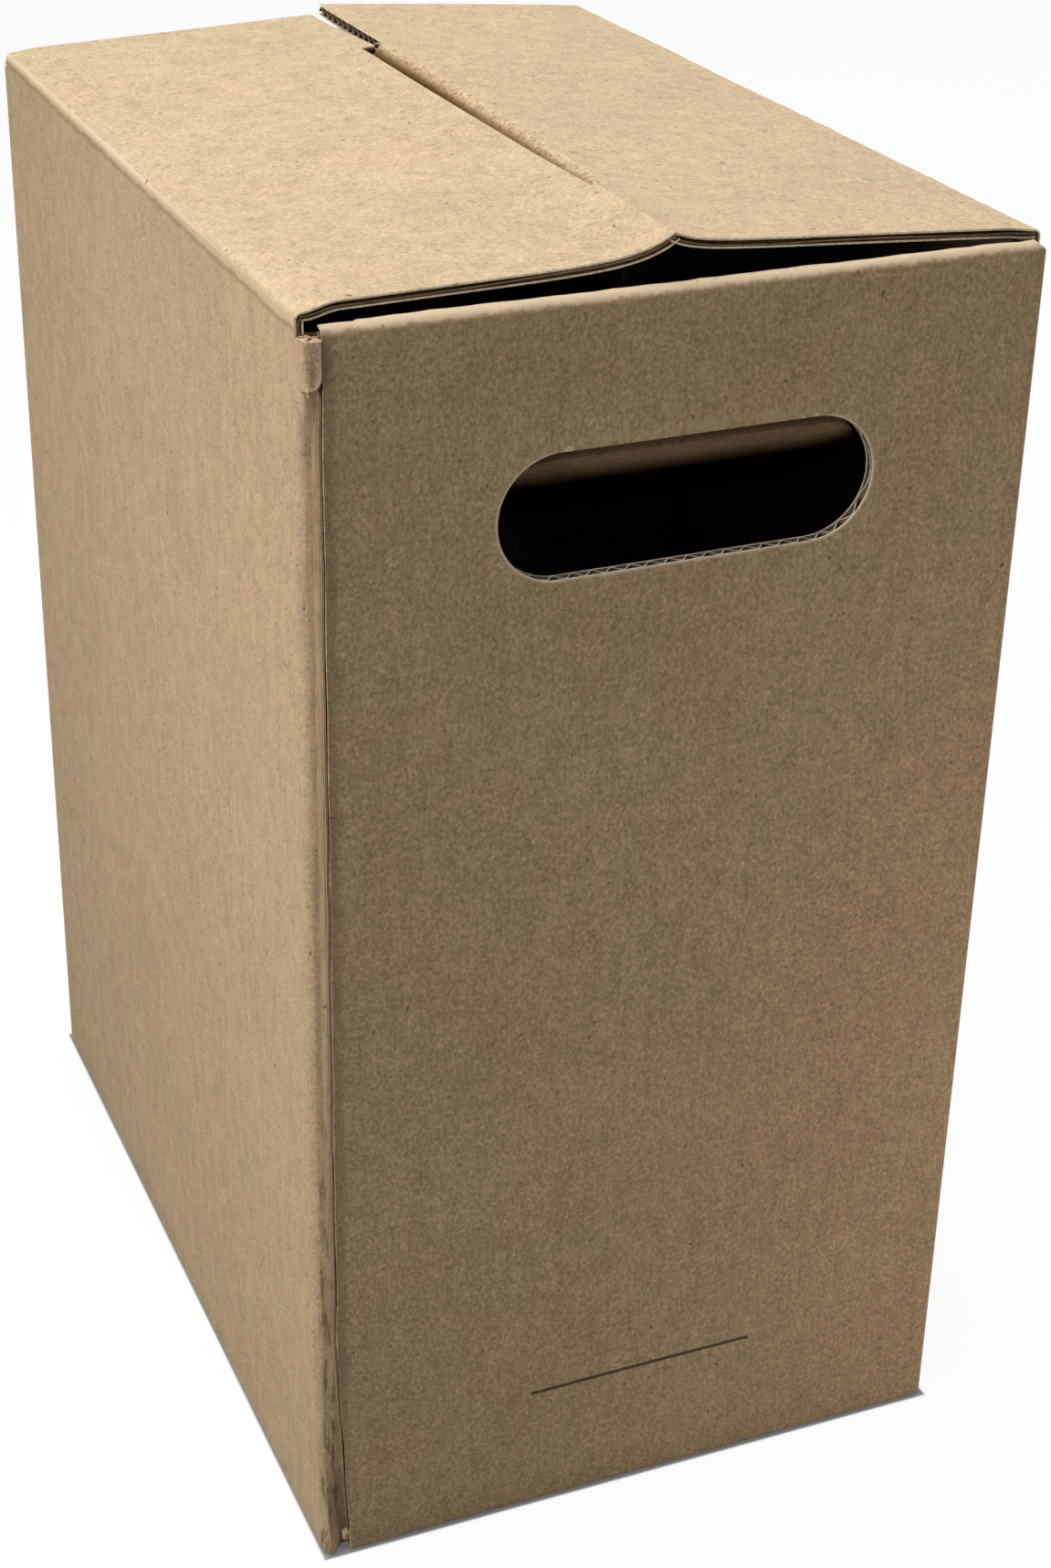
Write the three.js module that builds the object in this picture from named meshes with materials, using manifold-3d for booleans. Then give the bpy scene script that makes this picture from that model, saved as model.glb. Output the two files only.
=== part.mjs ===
// Six-bottle wine shipping box of kraft corrugated board.
// The sleeve, the bottom, the two short top flaps and the pushed-in hand-hole tabs are one folded sheet.
// The two long top flaps turn on creases along the sides, and one of them holds a tongue that tucks in.
// Three slotted strips inside stand on the bottom and part the bottles.
// Millimetres, +Z up. The origin is the middle of the base, and the front end faces -Y.
import * as THREE from "three";
import { mergeVertices } from "three/addons/utils/BufferGeometryUtils.js";
import Module from "manifold-3d";

// Overall sizes, over the outside of the board
const boxWidth = 171;
const boxLength = 254;
const endFoldTop = 319.6;
const board = 3;

// Sleeve
const cornerRadius = 3.2;
const jointInset = 4;
const glueTabWidth = 35;
const lobeHeight = 11;
const lobeGap = 0.4;
const lobeRadius = 2.6;

// Bottom flaps
const bottomFoldRadius = 1.2;
const endPanelLift = 0.6;
const bottomSeamGap = 0.6;
const bottomFlapInset = 3.6;
const bottomShortFlap = 60;
const bottomShortFlapRelief = 5;

// Short top flaps, which slope down into the box from the end panels
const endFoldRadius = 2.6;
const shortFlapLength = 60;
const shortFlapSlope = 28;
const shortFlapRelief = 12.5;
const notchWidth = 11;
const notchStart = 6;
const notchSpread = 13;

// Hand holes and the tabs pushed in from them
const holeLength = 89;
const holeHeight = 29;
const holeBelowFold = 32.8;
const holeShift = 1;
const tabTurn = 46;
const tabCutGap = 0.35;

// Long top flaps: crease radius, slope and curl at the front end and at the back end
const creaseGap = 0.3;
const longFlapInset = 5;
const seamGap = 0.3;
const seamShiftFront = -3;
const seamShiftBack = 1.5;
const warpLength = 120;
const leftForm = { frontCrease: 6, backCrease: 4.2, frontSlope: 0.02, backSlope: 0.08, curl: 4.6, curlReach: 6.8 };
const rightForm = { frontCrease: 4.4, backCrease: 4.2, frontSlope: 0.071, backSlope: 0.092, curl: 1.7, curlReach: 4 };

// Tongue of the right flap, and the step in the left flap that makes room for it
const tongueStart = 46;
const tongueLength = 146;
const tongueDepth = 36;
const tongueCrease = 3.3;
const tongueLean = 14;
const tongueRoom = 1.7;

// Bottle divider
const dividerBoard = 2;
const dividerHeight = 200;
const dividerEndGap = 0.75;
const dividerSeatGap = 0.3;
const slotGap = 0.3;
const bottlesAlongLength = 3;

// Mesh fineness
const arcSteps = 8;
const sheetSteps = 18;
const lengthSteps = 14;

// Worked out from the sizes above
const halfWidth = boxWidth / 2;
const halfLength = boxLength / 2;
const sleeveTop = endFoldTop - endFoldRadius;
const creaseBase = sleeveTop + creaseGap;
const frontFace = -halfLength;
const frontInner = frontFace + board;
const jointEdge = jointInset - halfWidth;
const innerWidth = boxWidth - 2 * board;
const innerLength = boxLength - 2 * board;

const wasm = await Module();
wasm.setup();

// A closed three.js geometry as a solid that can be joined and cut.
function solidFrom(geometry) {
  const bare = geometry.index ? geometry.toNonIndexed() : geometry.clone();
  bare.deleteAttribute("normal");
  bare.deleteAttribute("uv");
  const merged = mergeVertices(bare, 1e-4);
  return new wasm.Manifold(
    new wasm.Mesh({
      numProp: 3,
      vertProperties: merged.attributes.position.array,
      triVerts: new Uint32Array(merged.index.array),
    }),
  );
}

// The solid as a named mesh.
function meshFrom(solid, name, material) {
  const data = solid.getMesh();
  const positions = new Float32Array(data.numVert * 3);
  for (let i = 0; i < data.numVert; i++) {
    positions.set(data.vertProperties.subarray(i * data.numProp, i * data.numProp + 3), i * 3);
  }
  const geometry = new THREE.BufferGeometry();
  geometry.setAttribute("position", new THREE.BufferAttribute(positions, 3));
  geometry.setIndex(new THREE.BufferAttribute(new Uint32Array(data.triVerts), 1));
  geometry.computeVertexNormals();
  const mesh = new THREE.Mesh(geometry, material);
  mesh.name = name;
  return mesh;
}

// A shape drawn in X and Y, raised from one height to another.
function raise(shape, fromZ, toZ) {
  const geometry = new THREE.ExtrudeGeometry(shape, {
    depth: toZ - fromZ,
    bevelEnabled: false,
    curveSegments: arcSteps,
  });
  return solidFrom(geometry.translate(0, 0, fromZ));
}

// A shape drawn in Y and Z, carried along X.
function carryAlongX(shape, fromX, toX) {
  const geometry = new THREE.ExtrudeGeometry(shape, {
    depth: toX - fromX,
    bevelEnabled: false,
    curveSegments: arcSteps,
  });
  const turn = new THREE.Matrix4().makeBasis(
    new THREE.Vector3(0, 1, 0),
    new THREE.Vector3(0, 0, 1),
    new THREE.Vector3(1, 0, 0),
  );
  return solidFrom(geometry.applyMatrix4(turn).translate(fromX, 0, 0));
}

// A shape drawn in X and Z, carried along Y.
function carryAlongY(shape, fromY, toY) {
  const geometry = new THREE.ExtrudeGeometry(shape, {
    depth: toY - fromY,
    bevelEnabled: false,
    curveSegments: arcSteps,
  });
  const turn = new THREE.Matrix4().makeBasis(
    new THREE.Vector3(1, 0, 0),
    new THREE.Vector3(0, 0, 1),
    new THREE.Vector3(0, -1, 0),
  );
  return solidFrom(geometry.applyMatrix4(turn).translate(0, toY, 0));
}

// A rectangular block between two corners.
function block(low, high) {
  const size = high.map((value, axis) => value - low[axis]);
  const geometry = new THREE.BoxGeometry(...size);
  return solidFrom(geometry.translate(...low.map((value, axis) => value + size[axis] / 2)));
}

// A solid through like outlines at several places along Y. Each outline lists points in X and Z.
function loftAlongY(stations) {
  const count = stations[0].outline.length;
  const positions = [];
  const put = (station, index) => {
    const point = stations[station].outline[index];
    positions.push(point.x, stations[station].y, point.y);
  };
  for (let k = 0; k + 1 < stations.length; k++) {
    for (let i = 0; i < count; i++) {
      const j = (i + 1) % count;
      [[k, i], [k + 1, i], [k + 1, j], [k, i], [k + 1, j], [k, j]].forEach((pair) => put(...pair));
    }
  }
  const last = stations.length - 1;
  for (const [a, b, c] of THREE.ShapeUtils.triangulateShape(stations[0].outline, [])) {
    [a, b, c].forEach((index) => put(0, index));
  }
  for (const [a, b, c] of THREE.ShapeUtils.triangulateShape(stations[last].outline, [])) {
    [a, c, b].forEach((index) => put(last, index));
  }
  const geometry = new THREE.BufferGeometry();
  geometry.setAttribute("position", new THREE.Float32BufferAttribute(positions, 3));
  return solidFrom(geometry);
}

// Sleeve: four panels in plan, with the glue tab behind the front panel's free edge at the left corner.
function makeSleeve() {
  const r = cornerRadius;
  const outline = new THREE.Shape();
  outline.moveTo(jointEdge, frontFace);
  outline.lineTo(halfWidth - r, frontFace);
  outline.absarc(halfWidth - r, frontFace + r, r, -Math.PI / 2, 0, false);
  outline.lineTo(halfWidth, halfLength - r);
  outline.absarc(halfWidth - r, halfLength - r, r, 0, Math.PI / 2, false);
  outline.lineTo(r - halfWidth, halfLength);
  outline.absarc(r - halfWidth, halfLength - r, r, Math.PI / 2, Math.PI, false);
  outline.lineTo(-halfWidth, frontInner + r);
  outline.absarc(r - halfWidth, frontInner + r, r, Math.PI, Math.PI * 1.5, false);
  outline.lineTo(jointEdge, frontInner);
  const tabEnd = board - halfWidth + glueTabWidth;
  const hollow = new THREE.Path();
  hollow.moveTo(board - halfWidth, frontInner + board);
  hollow.lineTo(board - halfWidth, halfLength - board);
  hollow.lineTo(halfWidth - board, halfLength - board);
  hollow.lineTo(halfWidth - board, frontInner);
  hollow.lineTo(tabEnd, frontInner);
  hollow.lineTo(tabEnd, frontInner + board);
  outline.holes.push(hollow);
  return raise(outline, bottomFoldRadius, sleeveTop);
}

// The part of the left corner above the glue tab, which the cut left flush with the front.
function makeCornerLobe() {
  const r = cornerRadius;
  const right = jointEdge - lobeGap;
  const plan = new THREE.Shape();
  plan.moveTo(right, frontFace);
  plan.lineTo(right, frontInner + board / 2);
  plan.lineTo(-halfWidth, frontInner + board / 2);
  plan.lineTo(-halfWidth, frontFace + r);
  plan.absarc(r - halfWidth, frontFace + r, r, Math.PI, Math.PI * 1.5, false);
  const low = sleeveTop - lobeHeight;
  const face = new THREE.Shape();
  face.moveTo(-halfWidth, low);
  face.lineTo(right - lobeRadius, low);
  face.absarc(right - lobeRadius, low + lobeRadius, lobeRadius, -Math.PI / 2, 0, false);
  face.lineTo(right, sleeveTop);
  face.lineTo(-halfWidth, sleeveTop);
  const column = raise(plan, low, sleeveTop);
  return column.intersect(carryAlongY(face, frontFace - 1, frontInner + board));
}

// Front end of the top: the rounded fold and the short flap with its centre notch.
function makeEndTop() {
  const slope = THREE.MathUtils.degToRad(shortFlapSlope);
  const along = [Math.cos(slope), -Math.sin(slope)];
  const inward = [-Math.sin(slope), -Math.cos(slope)];
  const centreY = frontFace + endFoldRadius;
  const lip = [centreY + endFoldRadius * Math.sin(slope), sleeveTop + endFoldRadius * Math.cos(slope)];
  const tip = [lip[0] + shortFlapLength * along[0], lip[1] + shortFlapLength * along[1]];
  const under = [tip[0] + board * inward[0], tip[1] + board * inward[1]];
  const innerCorner = under[1] + ((under[0] - frontInner) / along[0]) * Math.sin(slope);
  const profile = new THREE.Shape();
  profile.moveTo(frontFace, sleeveTop - board);
  profile.lineTo(frontFace, sleeveTop);
  profile.absarc(centreY, sleeveTop, endFoldRadius, Math.PI, Math.PI / 2 - slope, true);
  profile.lineTo(...tip);
  profile.lineTo(...under);
  profile.lineTo(frontInner, innerCorner);
  profile.lineTo(frontInner, sleeveTop - board);
  let solid = carryAlongX(profile, jointEdge, -jointEdge);
  for (const side of [-1, 1]) {
    const edges = [side * (halfWidth - shortFlapRelief), side * halfWidth].sort((a, b) => a - b);
    solid = solid.subtract(block([edges[0], frontInner, under[1] - 1], [edges[1], 0, endFoldTop + 1]));
  }
  return solid.subtract(makeNotch());
}

// Notch down the middle of a short flap: round at the fold, and wider towards the flap's free edge.
function makeNotch() {
  const half = notchWidth / 2;
  const start = frontFace + notchStart;
  const end = frontFace + notchStart + shortFlapLength;
  const spread = Math.tan(THREE.MathUtils.degToRad(notchSpread)) * (end - start);
  const plan = new THREE.Shape();
  plan.moveTo(-half, start + half);
  plan.absarc(0, start + half, half, Math.PI, Math.PI * 2, false);
  plan.lineTo(half + spread, end);
  plan.lineTo(-half - spread, end);
  return raise(plan, sleeveTop - shortFlapLength, endFoldTop + 1);
}

// Front end of the bottom: the panel's lower edge and the short bottom flap glued on the long ones.
function makeEndBottom() {
  const r = bottomFoldRadius / 2;
  const top = 2 * board;
  const panelTop = top + board;
  const profile = new THREE.Shape();
  profile.moveTo(frontFace, panelTop);
  profile.lineTo(frontFace, endPanelLift + r);
  profile.absarc(frontFace + r, endPanelLift + r, r, Math.PI, Math.PI * 1.5, false);
  profile.lineTo(frontInner, endPanelLift);
  profile.lineTo(frontInner, board);
  profile.lineTo(frontFace + bottomShortFlap, board);
  profile.lineTo(frontFace + bottomShortFlap, top);
  profile.lineTo(frontInner, top);
  profile.lineTo(frontInner, panelTop);
  const solid = carryAlongX(profile, jointEdge, -jointEdge);
  const reach = frontFace + bottomShortFlap + 1;
  const left = block([-halfWidth, frontInner + board, board], [bottomShortFlapRelief - halfWidth, reach, top]);
  const right = block([halfWidth - bottomShortFlapRelief, frontInner, board], [halfWidth, reach, top]);
  return solid.subtract(left).subtract(right);
}

// One long bottom flap with its fold at the side panel. Side is -1 for left and 1 for right.
function makeLongBottomFlap(side) {
  const r = bottomFoldRadius;
  const profile = new THREE.Shape();
  profile.moveTo(bottomSeamGap / 2, 0);
  profile.lineTo(halfWidth - r, 0);
  profile.absarc(halfWidth - r, r, r, -Math.PI / 2, 0, false);
  profile.lineTo(halfWidth, board);
  profile.lineTo(bottomSeamGap / 2, board);
  const end = halfLength - bottomFlapInset;
  const solid = carryAlongY(profile, -end, end);
  return side > 0 ? solid : solid.rotate([0, 0, 180]);
}

// Outline of the hand hole, in X and Z about its own centre, made smaller all round by a gap.
function holeOutline(gap) {
  const radius = holeHeight / 2 - gap;
  const straight = (holeLength - holeHeight) / 2;
  const outline = new THREE.Shape();
  outline.moveTo(-straight, -radius);
  outline.lineTo(straight, -radius);
  outline.absarc(straight, 0, radius, -Math.PI / 2, Math.PI / 2, false);
  outline.lineTo(-straight, radius);
  outline.absarc(-straight, 0, radius, Math.PI / 2, Math.PI * 1.5, false);
  return outline;
}

const holeTop = endFoldTop - holeBelowFold;
const holeCentre = holeTop - holeHeight / 2;

// The hole through the front panel.
function makeHole() {
  const cutter = carryAlongY(holeOutline(0), frontFace - board, frontInner + board / 2);
  return cutter.translate([holeShift, 0, holeCentre]);
}

// The tab cut out of the hole, folded inwards along the hole's straight upper edge.
function makeHandTab() {
  const straight = (holeLength - holeHeight) / 2;
  const overlap = 2;
  const turn = THREE.MathUtils.degToRad(tabTurn + overlap);
  const plate = carryAlongY(holeOutline(tabCutGap), frontFace, frontInner)
    .translate([0, -frontInner, tabCutGap - holeHeight / 2])
    .rotate([tabTurn, 0, 0]);
  const fold = new THREE.Shape();
  fold.moveTo(0, 0);
  fold.lineTo(0, board);
  fold.lineTo(-board, board);
  fold.lineTo(-board, 0);
  fold.absarc(0, 0, board, Math.PI, Math.PI + turn, false);
  const crease = carryAlongX(fold, -straight, straight);
  return plate.add(crease).translate([holeShift, frontInner, holeTop]);
}

// The whole folded sheet apart from the two long top flaps.
function makeCarton() {
  let solid = makeSleeve().add(makeCornerLobe());
  solid = solid.add(makeLongBottomFlap(-1)).add(makeLongBottomFlap(1));
  for (const angle of [0, 180]) {
    solid = solid.add(makeEndTop().rotate([0, 0, angle]));
    solid = solid.add(makeEndBottom().rotate([0, 0, angle]));
    solid = solid.subtract(makeHole().rotate([0, 0, angle]));
    solid = solid.add(makeHandTab().rotate([0, 0, angle]));
  }
  return solid;
}

// How far the warp at the front end has faded at a place along Y, from 0 at the front edge to 1.
function warpFade(y) {
  return THREE.MathUtils.smoothstep(y, frontFace + longFlapInset, frontFace + longFlapInset + warpLength);
}

// Place of the seam between the long flaps, in X.
function seamAt(y) {
  return THREE.MathUtils.lerp(seamShiftFront, seamShiftBack, (y - frontFace) / boxLength);
}

// Crease radius, slope and curl of a long flap at a place along Y.
function formAt(form, y) {
  const fade = warpFade(y);
  return {
    crease: THREE.MathUtils.lerp(form.frontCrease, form.backCrease, fade),
    slope: THREE.MathUtils.lerp(form.frontSlope, form.backSlope, fade),
    curl: form.curl * (1 - fade),
    reach: form.curlReach,
  };
}

// Height of a flap's upper face at a distance in from the side panel's outer face.
function upperHeight(form, y, distance, edge) {
  const { crease, slope, curl, reach } = formAt(form, y);
  return creaseBase + crease + slope * (distance - crease) + curl * Math.exp((distance - edge) / reach);
}

// Cross-section of a long flap at a place along Y, drawn for the right flap, with X out from the middle.
function flapOutline(form, y, edge) {
  const { crease } = formAt(form, y);
  const upper = [];
  const lower = [];
  for (let i = 0; i < arcSteps; i++) {
    const angle = (Math.PI / 2) * (i / arcSteps);
    const lift = Math.sin(angle);
    const out = Math.cos(angle);
    upper.push(new THREE.Vector2(halfWidth - crease + crease * out, creaseBase + crease * lift));
    const inner = crease - board;
    lower.push(new THREE.Vector2(halfWidth - crease + inner * out, creaseBase + inner * lift));
  }
  for (let i = 0; i <= sheetSteps; i++) {
    const share = 1 - (1 - i / sheetSteps) ** 1.5;
    const distance = THREE.MathUtils.lerp(crease, edge, share);
    const height = upperHeight(form, y, distance, edge);
    upper.push(new THREE.Vector2(halfWidth - distance, height));
    lower.push(new THREE.Vector2(halfWidth - distance, height - board));
  }
  return upper.concat(lower.reverse());
}

// Mirrors an outline to the left half and keeps its turning sense.
function mirrored(outline) {
  return outline.map((point) => new THREE.Vector2(-point.x, point.y)).reverse();
}

// Places along Y where a long flap's cross-section is taken.
function flapStations() {
  const end = halfLength - longFlapInset;
  return Array.from({ length: lengthSteps + 1 }, (_, i) => {
    return THREE.MathUtils.lerp(-end, end, (i / lengthSteps) ** 1.4);
  });
}

const tongueFront = frontFace + tongueStart;
const tongueBack = tongueFront + tongueLength;

// Left flap: its seam edge steps back where the tongue goes down.
function makeLeftFlap() {
  const sheet = loftAlongY(
    flapStations().map((y) => {
      const edge = halfWidth + seamAt(y) - seamGap / 2;
      return { y, outline: mirrored(flapOutline(leftForm, y, edge)) };
    }),
  );
  const step = new THREE.Shape();
  const room = tongueRoom + seamGap / 2;
  step.moveTo(seamAt(tongueFront) - room, tongueFront - seamGap);
  step.lineTo(halfWidth / 2, tongueFront - seamGap);
  step.lineTo(halfWidth / 2, tongueBack + seamGap);
  step.lineTo(seamAt(tongueBack) - room, tongueBack + seamGap);
  return sheet.subtract(raise(step, sleeveTop, endFoldTop + boxWidth / 2));
}

// Cross-section of the tongue at a place along Y: over the crease and down, leaning in under the flap.
function tongueOutline(y) {
  const lean = THREE.MathUtils.degToRad(tongueLean);
  const edge = halfWidth - seamAt(y) - seamGap / 2;
  const centreX = halfWidth - edge + tongueCrease;
  const overlap = 1;
  const upperAt = (x) => upperHeight(rightForm, y, halfWidth - x, edge);
  const centreZ = upperAt(centreX) - tongueCrease;
  const outer = [new THREE.Vector2(centreX + overlap, upperAt(centreX + overlap))];
  const inner = [new THREE.Vector2(centreX + overlap, upperAt(centreX + overlap) - board)];
  for (let i = 0; i <= arcSteps; i++) {
    const angle = Math.PI / 2 + (Math.PI / 2 + lean) * (i / arcSteps);
    const reach = new THREE.Vector2(Math.cos(angle), Math.sin(angle));
    outer.push(new THREE.Vector2(centreX, centreZ).addScaledVector(reach, tongueCrease));
    inner.push(new THREE.Vector2(centreX, centreZ).addScaledVector(reach, tongueCrease - board));
  }
  const down = new THREE.Vector2(Math.sin(lean), -Math.cos(lean));
  outer.push(outer[outer.length - 1].clone().addScaledVector(down, tongueDepth));
  inner.push(inner[inner.length - 1].clone().addScaledVector(down, tongueDepth));
  return outer.concat(inner.reverse());
}

// Right flap: the sheet, with its seam edge folded down as a tongue for part of its length.
function makeRightFlap() {
  const sheet = loftAlongY(
    flapStations().map((y) => {
      const edge = halfWidth - seamAt(y) - seamGap / 2;
      return { y, outline: flapOutline(rightForm, y, edge) };
    }),
  );
  const folded = new THREE.Shape();
  folded.moveTo(-halfWidth / 2, tongueFront);
  folded.lineTo(seamAt(tongueFront) + seamGap / 2 + tongueCrease, tongueFront);
  folded.lineTo(seamAt(tongueBack) + seamGap / 2 + tongueCrease, tongueBack);
  folded.lineTo(-halfWidth / 2, tongueBack);
  const tongue = loftAlongY(
    Array.from({ length: lengthSteps + 1 }, (_, i) => {
      const y = THREE.MathUtils.lerp(tongueFront, tongueBack, i / lengthSteps);
      return { y, outline: tongueOutline(y) };
    }),
  );
  return sheet.subtract(raise(folded, sleeveTop, endFoldTop + boxWidth / 2)).add(tongue);
}

const dividerBase = 2 * board + dividerSeatGap;
const slotWidth = dividerBoard + 2 * slotGap;
const slotEnd = dividerBase + dividerHeight / 2;

// Strip down the middle of the box, slotted from above.
function makeLongDivider() {
  const half = dividerBoard / 2;
  const end = innerLength / 2 - dividerEndGap;
  let strip = block([-half, -end, dividerBase], [half, end, dividerBase + dividerHeight]);
  for (const y of crossPlaces()) {
    const low = [-dividerBoard, y - slotWidth / 2, slotEnd];
    strip = strip.subtract(block(low, [dividerBoard, y + slotWidth / 2, dividerBase + dividerHeight + 1]));
  }
  return strip;
}

// Strip across the box, slotted from below, so that it drops over the long strip.
function makeCrossDivider(y) {
  const half = dividerBoard / 2;
  const end = innerWidth / 2 - dividerEndGap;
  const strip = block([-end, y - half, dividerBase], [end, y + half, dividerBase + dividerHeight]);
  const low = [-slotWidth / 2, y - dividerBoard, dividerBase - 1];
  return strip.subtract(block(low, [slotWidth / 2, y + dividerBoard, slotEnd + slotGap]));
}

// Places of the cross strips along Y, which part the length into equal cells.
function crossPlaces() {
  const pitch = innerLength / bottlesAlongLength;
  return Array.from({ length: bottlesAlongLength - 1 }, (_, i) => (i + 1) * pitch - innerLength / 2);
}

const kraft = new THREE.MeshStandardMaterial({ color: 0xb39a78, roughness: 0.9, metalness: 0 });
const kraftLid = new THREE.MeshStandardMaterial({ color: 0xc4ab88, roughness: 0.9, metalness: 0 });
const greyBoard = new THREE.MeshStandardMaterial({ color: 0x9c8a70, roughness: 0.95, metalness: 0 });

const group = new THREE.Group();
group.name = "wine_shipping_box";
group.add(meshFrom(makeCarton(), "carton", kraft));
group.add(meshFrom(makeLeftFlap(), "top_flap_left", kraftLid));
group.add(meshFrom(makeRightFlap(), "top_flap_right", kraftLid));
group.add(meshFrom(makeLongDivider(), "divider_lengthwise", greyBoard));
crossPlaces().forEach((y, index) => {
  group.add(meshFrom(makeCrossDivider(y), "divider_cross_" + (index + 1), greyBoard));
});

export default group;
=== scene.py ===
"""Wine shipping box of brown corrugated board, with a hand hole in each end and two long top flaps."""

import logging
import math
from collections.abc import Callable, Sequence
from dataclasses import dataclass
from enum import IntEnum

import bpy
from mathutils import Euler, Matrix, Vector, noise


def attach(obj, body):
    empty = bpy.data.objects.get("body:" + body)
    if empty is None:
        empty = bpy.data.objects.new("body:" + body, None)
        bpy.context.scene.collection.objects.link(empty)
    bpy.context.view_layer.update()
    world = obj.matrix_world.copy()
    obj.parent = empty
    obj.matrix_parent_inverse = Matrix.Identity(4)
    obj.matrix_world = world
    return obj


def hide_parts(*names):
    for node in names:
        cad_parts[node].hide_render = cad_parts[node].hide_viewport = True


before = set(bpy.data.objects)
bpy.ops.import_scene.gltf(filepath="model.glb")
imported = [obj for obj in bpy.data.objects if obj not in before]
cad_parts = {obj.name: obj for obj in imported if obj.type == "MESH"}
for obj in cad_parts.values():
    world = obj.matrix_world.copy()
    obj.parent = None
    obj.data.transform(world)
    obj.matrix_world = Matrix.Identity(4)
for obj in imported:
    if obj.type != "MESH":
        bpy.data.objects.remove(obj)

LOG = logging.getLogger("wine_box")
MM = 0.001
ENDS = (("front", 1), ("back", -1))

Place = Callable[[float, float], Vector]
Depth = Callable[[float, float], float]
Piece = bpy.types.Object
Material = bpy.types.Material
Socket = bpy.types.NodeSocket
Colour = tuple[float, float, float, float]
Span = tuple[float, float]


class Slot(IntEnum):
    """Material slots of every layer of board."""

    FACE = 0
    CUT = 1


def lerp(low: float, high: float, share: float) -> float:
    """Returns the value that lies at a share of the way from low to high."""
    return low + (high - low) * share


def smoothstep(value: float, low: float, high: float) -> float:
    """Returns 0 below low, 1 above high and a smooth rise between them."""
    share = min(1.0, max(0.0, (value - low) / (high - low)))
    return share * share * (3 - 2 * share)


def steps(low: float, high: float, count: int) -> list[float]:
    """Returns count + 1 evenly spread values from low to high."""
    return [lerp(low, high, i / count) for i in range(count + 1)]


def between(values: Sequence[float], low: float, high: float) -> list[float]:
    """Returns the values from low to high, both ends taken in."""
    slack = 1e-6
    return [value for value in values if low - slack <= value <= high + slack]


def wobble(x: float, y: float, z: float, scale: float) -> float:
    """Returns smooth noise from about -1 to 1 whose bumps are scale millimetres wide."""
    return noise.noise(Vector((x, y, z)) / scale)


def deselect() -> None:
    """Leaves edit mode and deselects everything."""
    if bpy.context.object and bpy.context.object.mode == "EDIT":
        bpy.ops.object.mode_set(mode="OBJECT")
    bpy.ops.object.select_all(action="DESELECT")


def select_only(*pieces: Piece) -> None:
    """Selects the pieces and makes the first one active."""
    deselect()
    for piece in pieces:
        piece.select_set(True)
    bpy.context.view_layer.objects.active = pieces[0]


def apply_modifier(piece: Piece, kind: str, **settings: object) -> None:
    """Adds a modifier to a piece and applies it.

    Args:
        piece: The piece to change.
        kind: Blender's name of the modifier type.
        settings: Values of the modifier's own properties.
    """
    select_only(piece)
    modifier = piece.modifiers.new(kind.title(), kind)
    for name, value in settings.items():
        setattr(modifier, name, value)
    bpy.ops.object.modifier_apply(modifier=modifier.name)


def join(pieces: Sequence[Piece], name: str) -> Piece:
    """Joins pieces into one object.

    Args:
        pieces: The pieces, the first of which gives its slots.
        name: Name of the joined object.

    Returns:
        The joined object.
    """
    select_only(*pieces)
    if len(pieces) > 1:
        bpy.ops.object.join()
    joined = bpy.context.view_layer.objects.active
    joined.name = name
    joined.data.name = name
    return joined


def weld(piece: Piece, distance: float = 0.002) -> None:
    """Merges the vertices of a piece that lie within a distance in millimetres."""
    select_only(piece)
    bpy.ops.object.mode_set(mode="EDIT")
    bpy.ops.mesh.select_all(action="SELECT")
    bpy.ops.mesh.remove_doubles(threshold=distance * MM)
    bpy.ops.object.mode_set(mode="OBJECT")


def place_in_mesh(piece: Piece) -> None:
    """Moves a piece's place, turn and size into its mesh."""
    select_only(piece)
    bpy.ops.object.transform_apply(location=True, rotation=True, scale=True)


def face_end(piece: Piece, sign: int) -> None:
    """Turns a piece that was made for the front end to the back end, if the sign is negative."""
    if sign < 0:
        piece.rotation_euler = Euler((0, 0, math.pi))
        place_in_mesh(piece)


def add_materials(piece: Piece, *materials: Material | None) -> None:
    """Adds material slots to a piece."""
    for material in materials:
        piece.data.materials.append(material)


@dataclass(frozen=True)
class Board:
    """Corrugated board: two liners with a waved medium between them. Millimetres."""

    caliper: float = 3.0
    liner: float = 0.42
    medium: float = 0.26
    flute: float = 4.6
    steps_per_flute: int = 7

    def wave(self, across: float) -> float:
        """Returns the depth of the medium's middle under the outer face."""
        swing = (self.caliper - 2 * self.liner - self.medium) / 2
        return self.caliper / 2 + swing * math.sin(2 * math.pi * across / self.flute)

    def fine(self, low: float, high: float) -> list[float]:
        """Returns places across the flutes that are close enough for the medium's wave."""
        count = math.ceil((high - low) / self.flute * self.steps_per_flute)
        return steps(low, high, count)


BOARD = Board()


def surface_point(place: Place, along: float, across: float, depth: float, outward: int) -> Vector:
    """Returns the point at a depth under a surface.

    Args:
        place: The surface, as a function of its two parameters.
        along: Parameter along the flutes.
        across: Parameter across the flutes.
        depth: Distance under the surface in millimetres.
        outward: 1 where the cross product of the two directions points out, and -1 where it points in.

    Returns:
        The point in millimetres.
    """
    step = 0.01
    run = place(along + step, across) - place(along - step, across)
    rise = place(along, across + step) - place(along, across - step)
    normal = run.cross(rise).normalized() * outward
    return place(along, across) - normal * depth


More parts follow.
